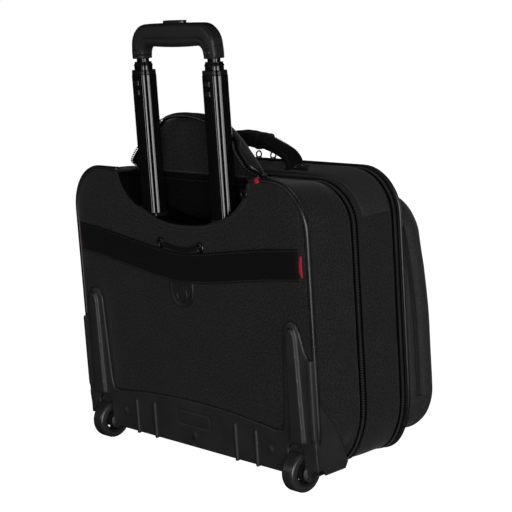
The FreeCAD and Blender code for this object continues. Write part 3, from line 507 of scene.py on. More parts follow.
def drawn(name, color, rough, metallic=1.0, level=0.5):
    """Drawn or turned metal: hairlines along Z, uneven gloss."""
    mat, tree, bsdf = principled(name, color, rough, metallic=metallic, level=level)
    where = place(tree, "Object")
    stretched = node(tree, "VectorMath", {0: where, 1: (1400, 1400, 12)}, operation="MULTIPLY").outputs[0]
    lines = noise_at(tree, stretched, 1.0, 2.0)
    slow = noise_at(tree, where, 30, 3.0)
    dress(tree, bsdf, color, ramp(tree, slow, 0.92, 1.08),
          ramp(tree, lines, max(rough - 0.04, 0.02), rough + 0.06), lines, 0.06, 0.0001)
    return mat


FABRIC = cloth("fabric", (0.017, 0.017, 0.018))
# a darker cloth of its own, made darker still as painted shade: the unlit top of the case where the handle's panel
# is, and the well's wall
PATCH_FABRIC_AND_SHADE = cloth("patch_fabric_and_shade", (0.0058, 0.0058, 0.0062), rough=0.93, sheen=0.0, level=0.04)
STRAP_FABRIC = cloth("strap_fabric", (0.0055, 0.0055, 0.006), sheen=0.02, level=0.1)
LINING = cloth("lining", (0.03, 0.03, 0.032), pitch=0.0008, rough=0.75, sheen=0.1, speckle=0.12)
# the well's floor cloth: a dark spacer mesh, darkened further to near black as painted shade of the deep well
SHADED_MESH_CLOTH = cloth("spacer_mesh_and_shade", (0.003, 0.003, 0.0033), pitch=0.0022, rough=0.9, speckle=0.3, sheen=0.0,
                   level=0.05)
PIPING = moulded("piping_vinyl", (0.016, 0.016, 0.017), 0.3, grain=500, bump=0.1, level=0.6)
WEBBING = ribbed("webbing", (0.0055, 0.0055, 0.0058), rough=0.85, sheen=0.04, level=0.14)
BINDING = ribbed("binding", (0.012, 0.012, 0.013), pitch=0.0011)
TAPE_MAT = ribbed("zip_tape", (0.0015, 0.0015, 0.0016), pitch=0.0009, rough=0.9, sheen=0.0, level=0.05)
TEETH = moulded("zip_teeth", (0.055, 0.055, 0.057), 0.35, grain=1200, bump=0.05, level=0.8)
THREAD = moulded("thread", (0.02, 0.02, 0.021), 0.6, grain=2500, bump=0.2)
RED = ribbed("red_ribbon", (0.62, 0.012, 0.03), pitch=0.0009, rough=0.6)
GUARD = moulded("guard_plastic", (0.024, 0.024, 0.025), 0.5, grain=1300, bump=0.12, level=0.6)
# near-black and dull: painted shade inside the wheel arches
ARCH_PAINTED_SHADE = moulded("arch_painted_shade", (0.0015, 0.0015, 0.0016), 0.9, grain=1300, bump=0.1, level=0.05)
GRIP = moulded("grip_plastic", (0.018, 0.018, 0.019), 0.45, grain=1600, bump=0.16, level=0.5)
BUTTON = moulded("button_plastic", (0.02, 0.02, 0.021), 0.2, grain=600, bump=0.03, level=0.6)
TUBE = drawn("tube_black", (0.003, 0.003, 0.0033), 0.17, metallic=0.0, level=0.95)
COLLAR = moulded("collar_plastic", (0.008, 0.008, 0.0085), 0.3, grain=1200, bump=0.05)
STEEL = drawn("steel", (0.42, 0.42, 0.43), 0.28)
DARK_STEEL = drawn("dark_steel", (0.08, 0.08, 0.085), 0.3)
TYRE = moulded("tyre", (0.032, 0.032, 0.033), 0.26, grain=400, bump=0.04, level=0.6)
HUB = moulded("hub", (0.016, 0.016, 0.017), 0.25, grain=700, bump=0.05, level=0.6)
SLIDER = moulded("slider_metal", (0.03, 0.03, 0.032), 0.25, grain=900, bump=0.04, metallic=0.6)
BADGE = moulded("badge_rubber", (0.017, 0.017, 0.018), 0.5, grain=1500, bump=0.1)
FOOT = moulded("foot_rubber", (0.012, 0.012, 0.0125), 0.6, grain=1200, bump=0.2)
BOARD = moulded("board", (0.03, 0.03, 0.03), 0.7, grain=300, bump=0.2)

KEPT = ((BOARD, ["frame_board"]), (COLLAR, ["fixed_collars", "tube_bracket"]), (BUTTON, ["release_button"]),
        (TYRE, ["tyre_left", "tyre_right"]), (HUB, ["hub_left", "hub_right"]), (FOOT, ["front_feet"]),
        (STEEL, ["axle_bolts", "bearings_left", "bearings_right", "button_spring", "release_bar",
                 "foot_screws"]))
for mat, names in KEPT:
    for name in names:
        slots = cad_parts[name].data.materials
        slots.clear()
        slots.append(mat)

BEVELS = {"fixed_collars": 0.6, "hub_left": 0.4, "hub_right": 0.4, "release_button": 2.4, "front_feet": 0.8,
          "axle_bolts": 0.3}
for name, wide in BEVELS.items():
    add(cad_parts[name], "BEVEL", width=wide * MM, segments=3, limit_method="ANGLE",
        angle_limit=math.radians(35))


# ---- camera, floor and lights ----

def aim(obj, position, target, roll=0.0):
    toward = unit(np.array(target, float) - np.array(position, float))
    right = unit(np.cross(toward, UP))
    top = np.cross(right, toward)
    r = math.radians(roll)
    x_axis = math.cos(r) * right + math.sin(r) * top
    y_axis = -math.sin(r) * right + math.cos(r) * top
    matrix = Matrix((x_axis, y_axis, -toward)).transposed().to_4x4()
    matrix.translation = Vector(position)
    obj.matrix_world = matrix


camera_data = bpy.data.cameras.new("camera")
camera_data.lens = 106.53
camera_data.sensor_width = 36
camera_data.clip_end = 200
camera = bpy.data.objects.new("camera", camera_data)
bpy.context.scene.collection.objects.link(camera)
YAW, PITCH = math.radians(47.5), math.radians(10.9)
eye = np.array([-1.4268, 1.2872, 0.6195])
behind = np.array([-math.sin(YAW) * math.cos(PITCH), math.cos(YAW) * math.cos(PITCH), math.sin(PITCH)])
aim(camera, eye, eye - behind, -3.8)
bpy.context.scene.camera = camera

FLOOR_HALF = 60000
floor_mat, floor_tree, floor_bsdf = principled("floor_paint", (0.6, 0.6, 0.6), 0.9, level=0.1)
floor_bsdf.inputs["Emission Color"].default_value = (1, 1, 1, 1)
floor_bsdf.inputs["Emission Strength"].default_value = 1.0
floor = make("floor", [(x * FLOOR_HALF, y * FLOOR_HALF, 0) for x, y in ((-1, -1), (1, -1), (1, 1), (-1, 1))],
             [(0, 1, 2, 3)], None, floor_mat, shade=False)
# it is pure white to the camera, and neither lights nor shades the case
floor.visible_diffuse = False
floor.visible_glossy = False
floor.visible_shadow = False


def lamp(name, position, target, wide, tall, radiance):
    """A soft box of even brightness."""
    data = bpy.data.lights.new(name, "AREA")
    data.shape = "RECTANGLE"
    data.size, data.size_y = wide, tall
    data.energy = radiance * math.pi * wide * tall
    obj = bpy.data.objects.new(name, data)
    bpy.context.scene.collection.objects.link(obj)
    aim(obj, position, target)
    obj.visible_camera = False


lamp("key_box", (-2.05, 1.88, 0.42), (0, 0, 0.22), 1.9, 1.7, 4.2)
lamp("side_box", (-2.85, 0.45, 0.5), (0, 0, 0.22), 1.2, 1.3, 2.8)
lamp("rear_box", (1.3, 2.4, 0.8), (0, 0, 0.3), 0.9, 1.1, 1.3)
lamp("front_box", (0.9, -2.9, 0.35), (0, 0, 0.2), 1.6, 1.2, 2.2)
lamp("top_box", (-0.3, 0.3, 2.8), (0, 0, 0.3), 1.4, 1.0, 0.2)

world = bpy.data.worlds.new("studio")
world.use_nodes = True
sky = world.node_tree
up_down = node(sky, "SeparateXYZ", {0: node(sky, "TexCoord").outputs["Generated"]}).outputs["Z"]
glow = ramp(sky, math_node(sky, "ABSOLUTE", up_down), 0.26, 0.04, 0.0, 0.55)
sky.links.new(glow, sky.nodes["Background"].inputs["Strength"])
bpy.context.scene.world = world
bpy.context.scene.view_settings.view_transform = "Standard"


# ---- padded pieces, piping ----

def cushion(name, rows, body, stands_for, thick=3.0, mats=(FABRIC, LINING), facing=1):
    """A padded panel: rings from its edge to its middle, with the last one filled."""
    pad = grid(name, rows, body, list(mats), closed_v=True, uv=face_uv)
    close_up(pad, len(rows[0]), facing=facing)
    thicken(pad, thick)
    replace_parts(pad, stands_for)


def piping(name, line, radius, body, closed=True, mat=PIPING, sides=12):
    """A cord sewn round an edge."""
    return sweep(name, resample(line, 4.0, closed)[0], round_section(radius, sides), (0, 1, 0), body, mat,
                 closed)


# ---- back panel ----

RIM_LIFT = 2.6


def well_curve(half, deep, count):
    """The U of the handle well, from the right rim (+X) down and up to the left one."""
    turn = np.linspace(0, math.pi, count)
    return np.stack([half * np.cos(turn), WELL_TOP - deep * np.sin(turn)], 1)


# outline (x, z) of the guard's back plate, from the middle to the right and then on both sides
GUARD_SIDE = np.array([(0, 81.5), (60, 80), (120, 75.4), (150, 72), (157, 73.2), (163, 77), (166, 85.5),
                       (169.5, 140), (173, 196), (176, 203), (180, 208), (187, 210), (194, 207), (200, 197),
                       (206, 176), (211, 168), (218, 166)])
GUARD_DENSE = resample(np.vstack([GUARD_SIDE[::-1] * (-1, 1), GUARD_SIDE[1:]]), 2.0)[0]
WELL_DENSE = well_curve(WELL_HALF, WELL_DEEP, 200)
CASE_DENSE = resample(CASE_P, 3.0, closed=True)[0]


def distance(points, line):
    return np.sqrt(((points[:, None] - line[None]) ** 2).sum(2).min(1))


def above_guard(points):
    """True where a point of the back isn't behind the guard's plate."""
    inside = []
    for x, z in points:
        side = np.abs(GUARD_DENSE[:, 0] - x)
        near = side < 4
        inside.append(z > (GUARD_DENSE[near, 1].max() if near.any() else 0))
    return np.array(inside)

def back_y(points):
    """How far back the padded panel stands at points (x, z)."""
    points = np.asarray(points, float)
    rim = distance(points, CASE_DENSE)
    well = distance(points, WELL_DENSE)
    guard = distance(points, GUARD_DENSE) * above_guard(points)
    pillow = 7.5 * (1 - np.exp(-guard / 34)) * (1 - np.exp(-rim / 16)) * (1 - np.exp(-well / 20))
    sag = 1.2 * np.exp(-((points[:, 1] - 300) / 40) ** 2) * (1 - np.exp(-rim / 20))
    uneven = wobble(np.column_stack([points, points[:, :1] * 0]), 60, 1.1, 3.0) * smooth(guard / 30)
    return BACK - 0.6 + pillow - sag * 0.5 + uneven * smooth(rim / 20)


def build_back_panel():
    outer = open_top(CASE_P)
    outer[:, 1] += near_top(outer[:, 1]) * RIM_LIFT
    outer = resample(outer, 6.0)[0]
    inner = well_curve(WELL_HALF, WELL_DEEP, len(outer))[::-1]
    inner[:, 1] = np.minimum(inner[:, 1], HIGH + RIM_LIFT)
    rows = []
    for t in np.concatenate([[0, 0.006, 0.016, 0.03], np.linspace(0.055, 0.93, 30), [0.955, 0.975, 0.99, 1.0]]):
        flat = outer * (1 - t) + inner * t
        rolled = np.exp(-distance(flat, WELL_DENSE) / 2.2) * 3.4
        rows.append(stood(flat, back_y(flat) - rolled))
    panel = grid("back_panel_pad", rows, "case", [FABRIC, LINING], uv=face_uv)
    close_up(panel, facing=1)
    thicken(panel, 3.0)
    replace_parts(panel, "back_panel")

    rim = well_curve(WELL_HALF, WELL_DEEP, 90)
    rim = rim[rim[:, 1] < HIGH + 1.5]
    sweep("well_binding", stood(rim, back_y(rim) - 2.6), round_section(2.3), (0, 1, 0), "case", BINDING)
    seam = well_curve(WELL_HALF + 5.5, WELL_DEEP + 5.5, 90)
    seam = seam[seam[:, 1] < HIGH - 1]
    stitches("well_binding_stitch", stood(seam, back_y(seam) - 0.1), (0, 1, 0), "case")


build_back_panel()
for name, y, out, radius in (("back_piping_cord", 98.4, 2.5, 3.0), ("back_piping_flange", 94.2, 0.7, 0.9)):
    cord = piping(name, open_top(case_ring(y, out)), radius, "case", closed=False)
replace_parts(cord, "back_piping")


# ---- the case's walls ----

def wall(name, ys, outs, body, seed, stands_for=None, skip=None, thick=3.0):
    """A padded wall of the case: rings of points along Y, uneven as filled cloth is."""
    rows = np.array([case_ring(y, out) for y, out in zip(ys, outs)])
    for k in range(1, len(rows) - 1):
        fade = min(k, len(rows) - 1 - k) / 3
        rows[k] += CASE_OUT * wobble(rows[k], 55, 1.2 * min(fade, 1), seed)[:, None]
    obj = grid(name, rows, body, [FABRIC, LINING], closed_v=True, skip=skip)
    with editing(obj) as mesh:
        if sum(f.normal.x * f.calc_center_median().x * f.calc_area() for f in mesh.faces) < 0:
            bmesh.ops.reverse_faces(mesh, faces=mesh.faces)
    thicken(obj, thick)
    if stands_for:
        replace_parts(obj, stands_for)


def over_well(i, j):
    """True for the rear wall's cells above the handle well, which is open."""
    return NOTCH_FROM <= j < NOTCH_TO and REAR_Y[i] > WELL_WALL - 5 and REAR_Y[i + 1] > WELL_WALL - 5


REAR_Y = [97.5, 95, 92, 87, 80, 72, 65, 58, 50, 42, 35, 30, 27.4, 26.2, 25.6]
REAR_OUT = [-0.4, 0, 0, 0, 0, 0, 0, 0, 0, 0, 0, 0.2, 0.5, 0.2, -1.2]
wall("rear_gusset_pad", REAR_Y, REAR_OUT, "case", 2.0, "rear_gusset", over_well)

MAIN_Y = [14.4, 13.8, 12.6, 9, 2, -6, -15, -24, -32, -39, -43, -45, -45.8, -46.4]
MAIN_OUT = [-1.6, -0.2, 0.4, 0.2, 0, 0, 0, 0, 0, 0, 0.1, 0.3, -0.2, -1.6]
wall("main_gusset_pad", MAIN_Y, MAIN_OUT, "shell", 4.0, "main_gusset")


# ---- zips ----

def tape(name, low_side, high_side, body, stands_for, closed=True):
    """One tape of a zip between two edge lines."""
    rows = [low_side + (high_side - low_side) * t for t in (0, 0.25, 0.5, 0.75, 1.0)]
    obj = grid(name, rows, body, TAPE_MAT, closed_v=closed)
    add(obj, "SOLIDIFY", thickness=0.9 * MM, offset=0)
    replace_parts(obj, stands_for)


TOOTH = block(1.25, 2.5, 1.4, 0.75)
TOOTH_PITCH = 3.2


def teeth(name, path, normals, body, sign, closed=True):
    """One side's teeth of a zip. sign +1 is the rear side; the two sides interlock."""
    points, tangents = resample(path, TOOTH_PITCH / 2, closed)
    start = 0 if sign > 0 else 1
    points, tangents = points[start::2], tangents[start::2]
    outs = outs_at(points, tangents, path, normals)
    sides = np.cross(outs, tangents)
    places = points + sides * np.sign(sides[:, 1:2]) * sign * 1.15
    scatter(name, places, tangents, outs, TOOTH, body, TEETH)


def build_zip(label, ring, tape_out, teeth_out, normals, rear_body, front_body):
    """Tapes and teeth of a zip along a ring, with how far out each edge of the tapes and the teeth are."""
    inner, outer = tape_out
    tape(f"{label}_zip_rear_tape", ring(0.5, inner), ring(TAPE, outer), rear_body, f"{label}_zip_rear")
    tape(f"{label}_zip_front_tape", ring(-TAPE, outer), ring(-0.5, inner), front_body, f"{label}_zip_front")
    for side, sign, body in (("rear", 1, rear_body), ("front", -1, front_body)):
        teeth(f"{label}_zip_{side}_teeth", ring(0.0, teeth_out), normals, body, sign)


for label, zip_y, rear_body, front_body in (("main", MAIN_ZIP, "case", "shell"),
                                            ("front", FRONT_ZIP, "shell", "front")):
    build_zip(label, lambda y, out: case_ring(zip_y + y, out), (0.0, 0.0), 0.4, CASE_OUT, rear_body, front_body)

for label, y, body in (("rear_edge", 28.6, "case"), ("main_rear_edge", 10.8, "shell"),
                       ("main_front_edge", -42.6, "shell"), ("rear_piping_seam", 91.5, "case")):
    whole = y < WELL_WALL
    stretch = np.array if whole else open_top
    stitches(f"{label}_stitch", stretch(case_ring(y, 0.15)), stretch(CASE_OUT), body, closed=whole)

# the welt along the front of the main zip, and the panel that carries the handle, with its seams
piping("main_welt", case_ring(12.6, 0.9), 1.3, "shell", mat=BINDING, sides=10)

upper = np.where(CASE_P[:, 1] > 316)[0]
patch_y = [5.2, 4.8, 4, 0, -8, -16, -24, -32, -38, -41, -42]
patch_out = [0.2, 1.0, 1.3, 1.3, 1.3, 1.3, 1.3, 1.3, 1.2, 0.9, 0.2]
patch_rows = np.array([case_ring(y, out)[upper] for y, out in zip(patch_y, patch_out)])
for row in patch_rows:
    row += CASE_OUT[upper] * wobble(row, 55, 1.2, 4.0)[:, None]
# its darker colour is partly painted shade of the case's unlit top
patch = grid("main_gusset_patch", patch_rows, "shell", [PATCH_FABRIC_AND_SHADE, LINING], flip=True)
thicken(patch, 0.9)
stitches("main_patch_stitch", case_ring(2.4, 1.9)[upper], CASE_OUT[upper], "shell")
for sign, word in SIDES:
    end = upper[0] if sign > 0 else upper[-1]
    line = np.array([case_ring(y, 1.9)[end] for y in np.linspace(3, -40, 20)])
    stitches(f"main_patch_stitch_{word}", line + (0, 0, 2.2), (sign, 0, 0), "shell")


# ---- front panel ----

FRONT_LEVELS = [(0.0, -62.5), (0.006, -64.6), (0.02, -65.8), (0.05, -66.3), (0.12, -66.4), (0.3, -66.2),
                (0.6, -66.0), (0.85, -66.0)]
front_rows = drawn_in(case_ring(PANEL_FRONT + 3)[:, [0, 2]], (0, (LOW + HIGH) / 2), FRONT_LEVELS)
cushion("front_panel_pad", front_rows, "front", "front_panel", facing=-1)
wall("front_wall", [-57.4, -58, -59.5, -62, -63.5], [-1.6, -0.2, 0.2, 0.1, -0.5], "front", 5.0, thick=2.4)
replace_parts(piping("front_piping_cord", case_ring(-61.4, 1.5), 2.2, "front"), "front_piping")


# ---- pocket ----

POCKET_TOP_Y = -72.4
POCKET_LINE = [(0, POCKET_ZIP), (190, POCKET_ZIP + 0.5), (240, -79.6), (270, -77.2), (300, -74.0), (318, -72.6),
               (400, POCKET_TOP_Y)]


def pocket_ring(y, out=0.0):
    """The pocket's outline at a distance y from its zip, swollen sideways and down."""
    crown = smooth((POCKET_P[:, 1] - 160) / 170)
    swell = out + 9.5 * (1 - crown) + 2.2 * smooth((POCKET_P[:, 1] - 300) / 26)
    return stood(POCKET_P + POCKET_N * swell[:, None], table(POCKET_P[:, 1], POCKET_LINE) + y)


rear_rows = []
for share, out in ((0, -9.0), (0.1, -4.5), (0.3, -0.6), (0.6, 0.8), (0.88, 0.6), (0.96, 0.0), (1.0, -1.6)):
    ring = pocket_ring(TAPE, out)
    ring[:, 1] = (PANEL_FRONT + 0.5) * (1 - share) + np.minimum(ring[:, 1], PANEL_FRONT - 0.5) * share
    rear_rows.append(ring)
pocket_side = grid("pocket_gusset_wall", rear_rows, "front", [FABRIC, LINING], closed_v=True,
                   flip=True)
thicken(pocket_side, 2.4)
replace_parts(pocket_side, "pocket_gusset")
build_zip("pocket", pocket_ring, (-1.4, -1.6), -0.8, POCKET_OUT, "front", "pocket")

pocket_centre = np.array([0, 0, (P_LOW + P_HIGH) / 2 - 6])
POCKET_PROFILE = [(-TAPE - 0.2, -1.6), (-TAPE - 0.5, 0.6), (-8, 2.0), (-11, 3.0), (-15, 3.4), (-19.5, 2.2),
                  (-24, -0.8), (-29, -6), (-34, -13), (-38, -22), (-40.4, -32), (-41.8, -43)]
upper_part = smooth((POCKET_P[:, 1] - 240) / 80)


def pocket_edge(y, proud=0.0):
    """The cover's outline at a distance y from the zip; its rim is rounded less at the top."""
    out = table(y, POCKET_PROFILE)
    return pocket_ring(y, out * (1 - (0.45 if out < 0 else 0.5) * upper_part) + proud)


pocket_rows = [pocket_edge(y) for y, _ in POCKET_PROFILE]
ring = pocket_rows[-1]
for share, level in ((0.12, -42.3), (0.3, -43.0), (0.55, -43.4), (0.8, -43.5), (0.93, -43.5)):
    row = ring + (pocket_centre - ring) * share
    row[:, 1] = ring[:, 1] * (1 - share) + (POCKET_ZIP + level + 2.0) * share
    pocket_rows.append(row)
for row in pocket_rows[3:]:
    row[:, 1] += wobble(row, 70, 1.6, 8.0)
pocket_cover = grid("pocket_cover_pad", pocket_rows, "pocket", [FABRIC, LINING], closed_v=True,
                    flip=True)
close_up(pocket_cover, len(ring), agree=False)
thicken(pocket_cover, 3.0)
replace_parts(pocket_cover, "pocket_cover")
piping("pocket_piping_cord", pocket_edge(-33.0, 1.4), 2.1, "pocket")
stitches("pocket_edge_stitch", pocket_ring(-11, 3.0), POCKET_OUT, "pocket", closed=True)

# the cloth under the pocket that joins it to the front, over the zip's lowest run
under = np.where(POCKET_P[:, 1] < 82)[0]
under = np.r_[under[under > len(POCKET_P) // 2], under[under < len(POCKET_P) // 2]]
FOLD = ((13.5, -5.0), (11, 0.4), (7, 1.9), (2, 2.6), (-3, 3.0), (-8, 3.2), (-13, 4.0), (-18, 3.6), (-21.5, 1.8))
fold = grid("pocket_fold", [pocket_ring(y, out)[under] for y, out in FOLD], None, [FABRIC, LINING],
            flip=True)
thicken(fold, 1.6)
bake(fold)
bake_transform(fold)


# ---- handle well ----


def build_well():
    wall_line = well_curve(WELL_HALF - 3, WELL_DEEP - 3, 61)
    wall_line[:, 1] = np.minimum(wall_line[:, 1], HIGH + 1.5)
    top_edge = np.column_stack([np.linspace(-WELL_HALF + 3, WELL_HALF - 3, 30)[1:-1], np.full(28, HIGH + 1.5)])
    levels = [(share, WELL_WALL + 3.4 * (1 - np.exp(-26 * share)))
              for share in (0, 0.02, 0.06, 0.15, 0.3, 0.5, 0.75, 0.95)]
    # the well's wall takes the darker patch cloth as painted shade inside the well
    cushion("well_wall_pad", drawn_in(np.vstack([wall_line, top_edge]), (0, 345), levels), "case", "handle_well",
            mats=(PATCH_FABRIC_AND_SHADE, LINING))

    # the well's floor, with a gap for each tube between x 51 and 83
    xs = np.unique(np.round(np.concatenate([np.linspace(-121, -85, 10), [-83, -51], [51, 83],
                                            np.linspace(-47, 47, 20), np.linspace(85, 121, 10)]), 2))
    z = WELL_TOP - (WELL_DEEP - 3) * np.sqrt(np.clip(1 - (xs / (WELL_HALF - 3)) ** 2, 0, 1))
    z = np.minimum(z, HIGH + 1.5)
    ys = np.array([WELL_WALL, 66, 72, 76.5, 84, 92, 97, 99.4])
    points = [[(x, y, level - 1.6 * math.sin(math.pi * (y - ys[0]) / (ys[-1] - ys[0])))
               for x, level in zip(xs, z)] for y in ys]

    def holes(i, j):
        return 51 < abs(xs[j] + xs[j + 1]) / 2 < 83 and ys[i] >= 76
    # its near-black cloth is painted shade on the well's floor
    tray = grid("well_tray", points, "case", [SHADED_MESH_CLOTH, LINING], skip=holes)
    thicken(tray, 2.0)
    seam = np.column_stack([np.linspace(-108, 108, 40), np.full(40, 357.5)])
    stitches("well_wall_stitch", stood(seam, WELL_WALL + 3.4), (0, 1, 0), "case")


build_well()


# ---- flap ----

FLAP_SIDE = [(115, 367.6), (113.5, 372.5), (109, 380.5), (102.5, 388.5), (93.5, 398), (83, 408), (71.5, 418),
             (59, 427.5), (44, 434.5), (26, 439.2), (9, 441)]
FLAP_FOOT, FLAP_FRONT, FLAP_RIM = 367.6, 60.5, 81.0
# the hood's rings: share of the way from its rim to its middle, and place along Y
FLAP_SHARES = (0.0, 0.004, 0.01, 0.02, 0.04, 0.08, 0.16, 0.3, 0.5, 0.75, 0.94)
FLAP_DEPTHS = (79.5, 76, 71, 66, 62.2, 60.3, 59.6, 59.0, 58.6, 58.6, 58.6)


def pressed(x):
    """How far the tubes of the handle press the hood's rim forward."""
    return 9.5 * np.exp(-((np.abs(x) - HANDLE_X) / 19) ** 4)


def hood_y(flat, y):
    """The hood's place along Y, which is y except near its foot, where it is shallow."""
    return FLAP_FRONT + (y - FLAP_FRONT) * (smooth((flat[:, 1] - FLAP_FOOT) / 16) * 0.8 + 0.2)


def build_flap():
    arch = spline(mirrored(FLAP_SIDE), 4)
    middle = np.array([0.0, 392.0])
    base_x = np.linspace(arch[-1, 0], arch[0, 0], 30)[1:-1]
    rows = []
    for share, y in zip(FLAP_SHARES, FLAP_DEPTHS):
        flat = arch + (middle - arch) * share
        flat[:, 1] = np.maximum(flat[:, 1], FLAP_FOOT)
        depth = hood_y(flat, y)
        depth -= pressed(flat[:, 0]) * smooth((depth - 62) / 14)
        base = np.column_stack([base_x * (1 - share), np.full(28, FLAP_FOOT + (middle[1] - FLAP_FOOT) * share)])
        rows.append(np.vstack([stood(flat, depth), stood(base, depth[0])]))
    for row in rows[4:]:
        row[:, 1] += wobble(row, 45, 1.2, 6.0)
    cushion("flap_pad", rows, "flap", "flap_panel", 3.2, mats=(FABRIC,))

    rim = stood(arch, hood_y(arch, FLAP_RIM) - pressed(arch[:, 0]))
    normal = unit(stood(np.gradient(rim, axis=0)[:, [2, 0]] * (-1, 1), 0.0))
    if normal[len(normal) // 2, 2] < 0:
        normal = -normal
    tape("flap_zip_tape", rim - normal * 0.6, rim + (0, 5.5, 0) - normal * 1.2, "flap", "flap_zip", closed=False)
    teeth("flap_zip_teeth", rim + (0, 4.8, 0) + normal * 0.2, normal, "flap", 1, closed=False)
    piping("flap_piping_cord", rim + normal * 1.9 - (0, 2.4, 0), 2.4, "flap", closed=False)


build_flap()


# ---- carry handle ----

def build_carry():
    y = (box_mm("carry_strap")[0][1] + box_mm("carry_strap")[1][1]) / 2
    half = [(88, 367.2), (87.6, 372), (85, 378.5), (77.5, 384.8), (67, 389.6), (54, 394), (39, 398.4), (20, 401.2)]
    line = spline([(-x, y, z) for x, z in half] + [(0, y, 401.6)] + [(x, y, z) for x, z in half[::-1]], 6)
    far = np.abs(line[:, 0])
    wide = table(far, [(0, 14), (54, 14.5), (78, 14.5), (97, 14)])
    tall = table(far, [(0, 7.6), (38, 7.0), (56, 5.8), (78, 4.6), (87, 3.4), (97, 2.6)])
    circle = round_section(1, 20)
    squared = np.sign(circle) * np.abs(circle) ** 0.6
    outward = np.cross(unit(np.gradient(line, axis=0)), np.array([0.0, 1.0, 0.0]))
    outward *= np.sign(outward[len(outward) // 2, 2])
    strap = sweep("carry_strap_pad", line, squared[None] * np.stack([wide, tall], 1)[:, None], outward,
                  "carry_handle", STRAP_FABRIC)
    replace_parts(strap, "carry_strap")
    for sign, word in ((-1, "front"), (1, "rear")):
        edge = line + np.array([0.0, sign, 0.0]) * (wide[:, None] - 2.4) + outward * (tall[:, None] * 0.86)
        stitches(f"carry_stitch_{word}", edge, outward, "carry_handle")
    keep = far < 38
    core = line[keep]
    size = np.stack([wide[keep] + 2.6, tall[keep] + 2.2], 1) * (1 + 0.05 * np.cos(core[:, 0] / 7.0))[:, None]
    fine = resample(core, 1.8)[0]
    wrap = sweep("carry_wrap_sleeve", fine, creased(core, squared[None] * size[:, None], fine), (0, 0, 1),
                 "carry_handle", WEBBING)
    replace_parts(wrap, "carry_wrap")


def creased(core, sections, fine):
    """Sections at finer steps, with the creases of cloth wound round a core."""
    out = []
    for p in fine:
        k = np.argmin(np.abs(core[:, 0] - p[0]))
        crease = 1 + 0.018 * math.sin(p[0] * 0.42) + 0.012 * math.sin(p[0] * 1.15 + 1.0)
        lip = 1 + 0.05 * math.exp(-((abs(p[0]) - 36.5) / 1.6) ** 2)
        out.append(sections[k] * crease * lip)
    return np.array(out)


build_carry()


FOOT_LINE = ((82, 0.2), (90, 1.2), (97, 2.0), (104, 1.6), (116, 0.4), (122, -0.6))


def build_anchors():
    """Stitched-down strap ends and a steel ring on each side of the carry handle."""
    low, high = box_mm("carry_anchors")
    y, top = (low[1] + high[1]) / 2, HIGH + 1.0
    for sign, word in SIDES:
        foot = sweep(f"carry_foot_{word}", spline([(sign * x, y, top + lift) for x, lift in FOOT_LINE], 5),
                     slab_section(27, 2.6, 1.0), (0, 0, 1), "shell", WEBBING)
        ring = round_section(1, 28) * (6.5, 2.6) + (y, top + 2.4)
        sweep(f"carry_ring_{word}", np.column_stack([np.full(28, sign * 94.0), ring]), round_section(1.3, 8),
              (1, 0, 0), "shell", STEEL, closed=True)
        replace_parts(foot, "carry_anchors")


build_anchors()


# ---- band across the back ----

BAND_LOW = [(0, 236.5), (20, 237), (60, 241), (110, 248), (160, 254.5), (205, 258.5)]
BAND_HIGH = [(0, 274), (20, 274.6), (60, 279.5), (110, 287), (160, 293.5), (205, 297)]
BAND_LIFT = [(0, 2.6), (90, 2.0), (180, 1.4), (206, 1.0)]
STUD_X, STUD_Z = 37.5, 283.0
STUD = ((7.0, 0), (7.0, 1.0), (6.2, 1.8), (4.9, 2.3), (3.8, 2.0), (3.3, 1.4), (1.8, 1.6), (0.6, 1.9))


def band_row(share, lift):
    """A line along the band, from its lower edge at share 0 to its upper one at 1."""
    xs = np.linspace(-206, 206, 84)
    low, high = table(np.abs(xs), BAND_LOW), table(np.abs(xs), BAND_HIGH)
    flat = np.column_stack([xs, low + (high - low) * share])
    return stood(flat, back_y(flat) + table(np.abs(xs), BAND_LIFT) + lift)


def turned(name, profile, centre, body, mat, tall=1.0):
    """A small turned piece with its axis along Y. profile: (radius, y)."""
    x, y, z = centre
    rows = [[(x + r * a, y + lift, z + tall * r * b) for a, b in round_section(1, 24)] for r, lift in profile]
    obj = grid(name, rows, body, mat, closed_v=True)
    close_up(obj, 24)
    return obj


def build_band():
    rows = [band_row(share, 0.6 * math.cos(math.pi * (share - 0.5) * 2)) for share in np.linspace(0, 1, 9)]
    band = grid("sleeve_band_web", rows, "case", WEBBING, flip=True)
    add(band, "SOLIDIFY", thickness=1.5 * MM, offset=0)
    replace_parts(band, "sleeve_band")
    for share, word in ((0.06, "low"), (0.94, "high")):
        stitches(f"band_stitch_{word}", band_row(share, 0.9), (0, 1, 0), "case")
    for sign, word in SIDES:
        path = [(sign * 207.5, y, z) for y, z in ((101.6, 263), (102.4, 270), (102.6, 280), (101.8, 288.5))]
        tag = sweep(f"red_tag_{word}", spline(path, 5), slab_section(5.0, 1.4), (0, 1, 0), "case", RED)
    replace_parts(tag, "band_tags")
    for sign, word in SIDES:
        y = back_y([[sign * STUD_X, STUD_Z]])[0] + 0.3
        stud = turned(f"band_stud_{word}", STUD, (sign * STUD_X, y, STUD_Z), "case", DARK_STEEL)
        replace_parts(stud, "band_studs")
    xs = np.linspace(-33, 33, 24)
    loop_y = back_y(np.column_stack([xs, np.full(24, STUD_Z)])) + 1.6
    loop_z = 282.5 - 4.5 * np.cos(xs / 33 * math.pi / 2)
    sweep("band_loop", np.column_stack([xs, loop_y, loop_z]), slab_section(7.0, 1.2), (0, 1, 0), "case", WEBBING)


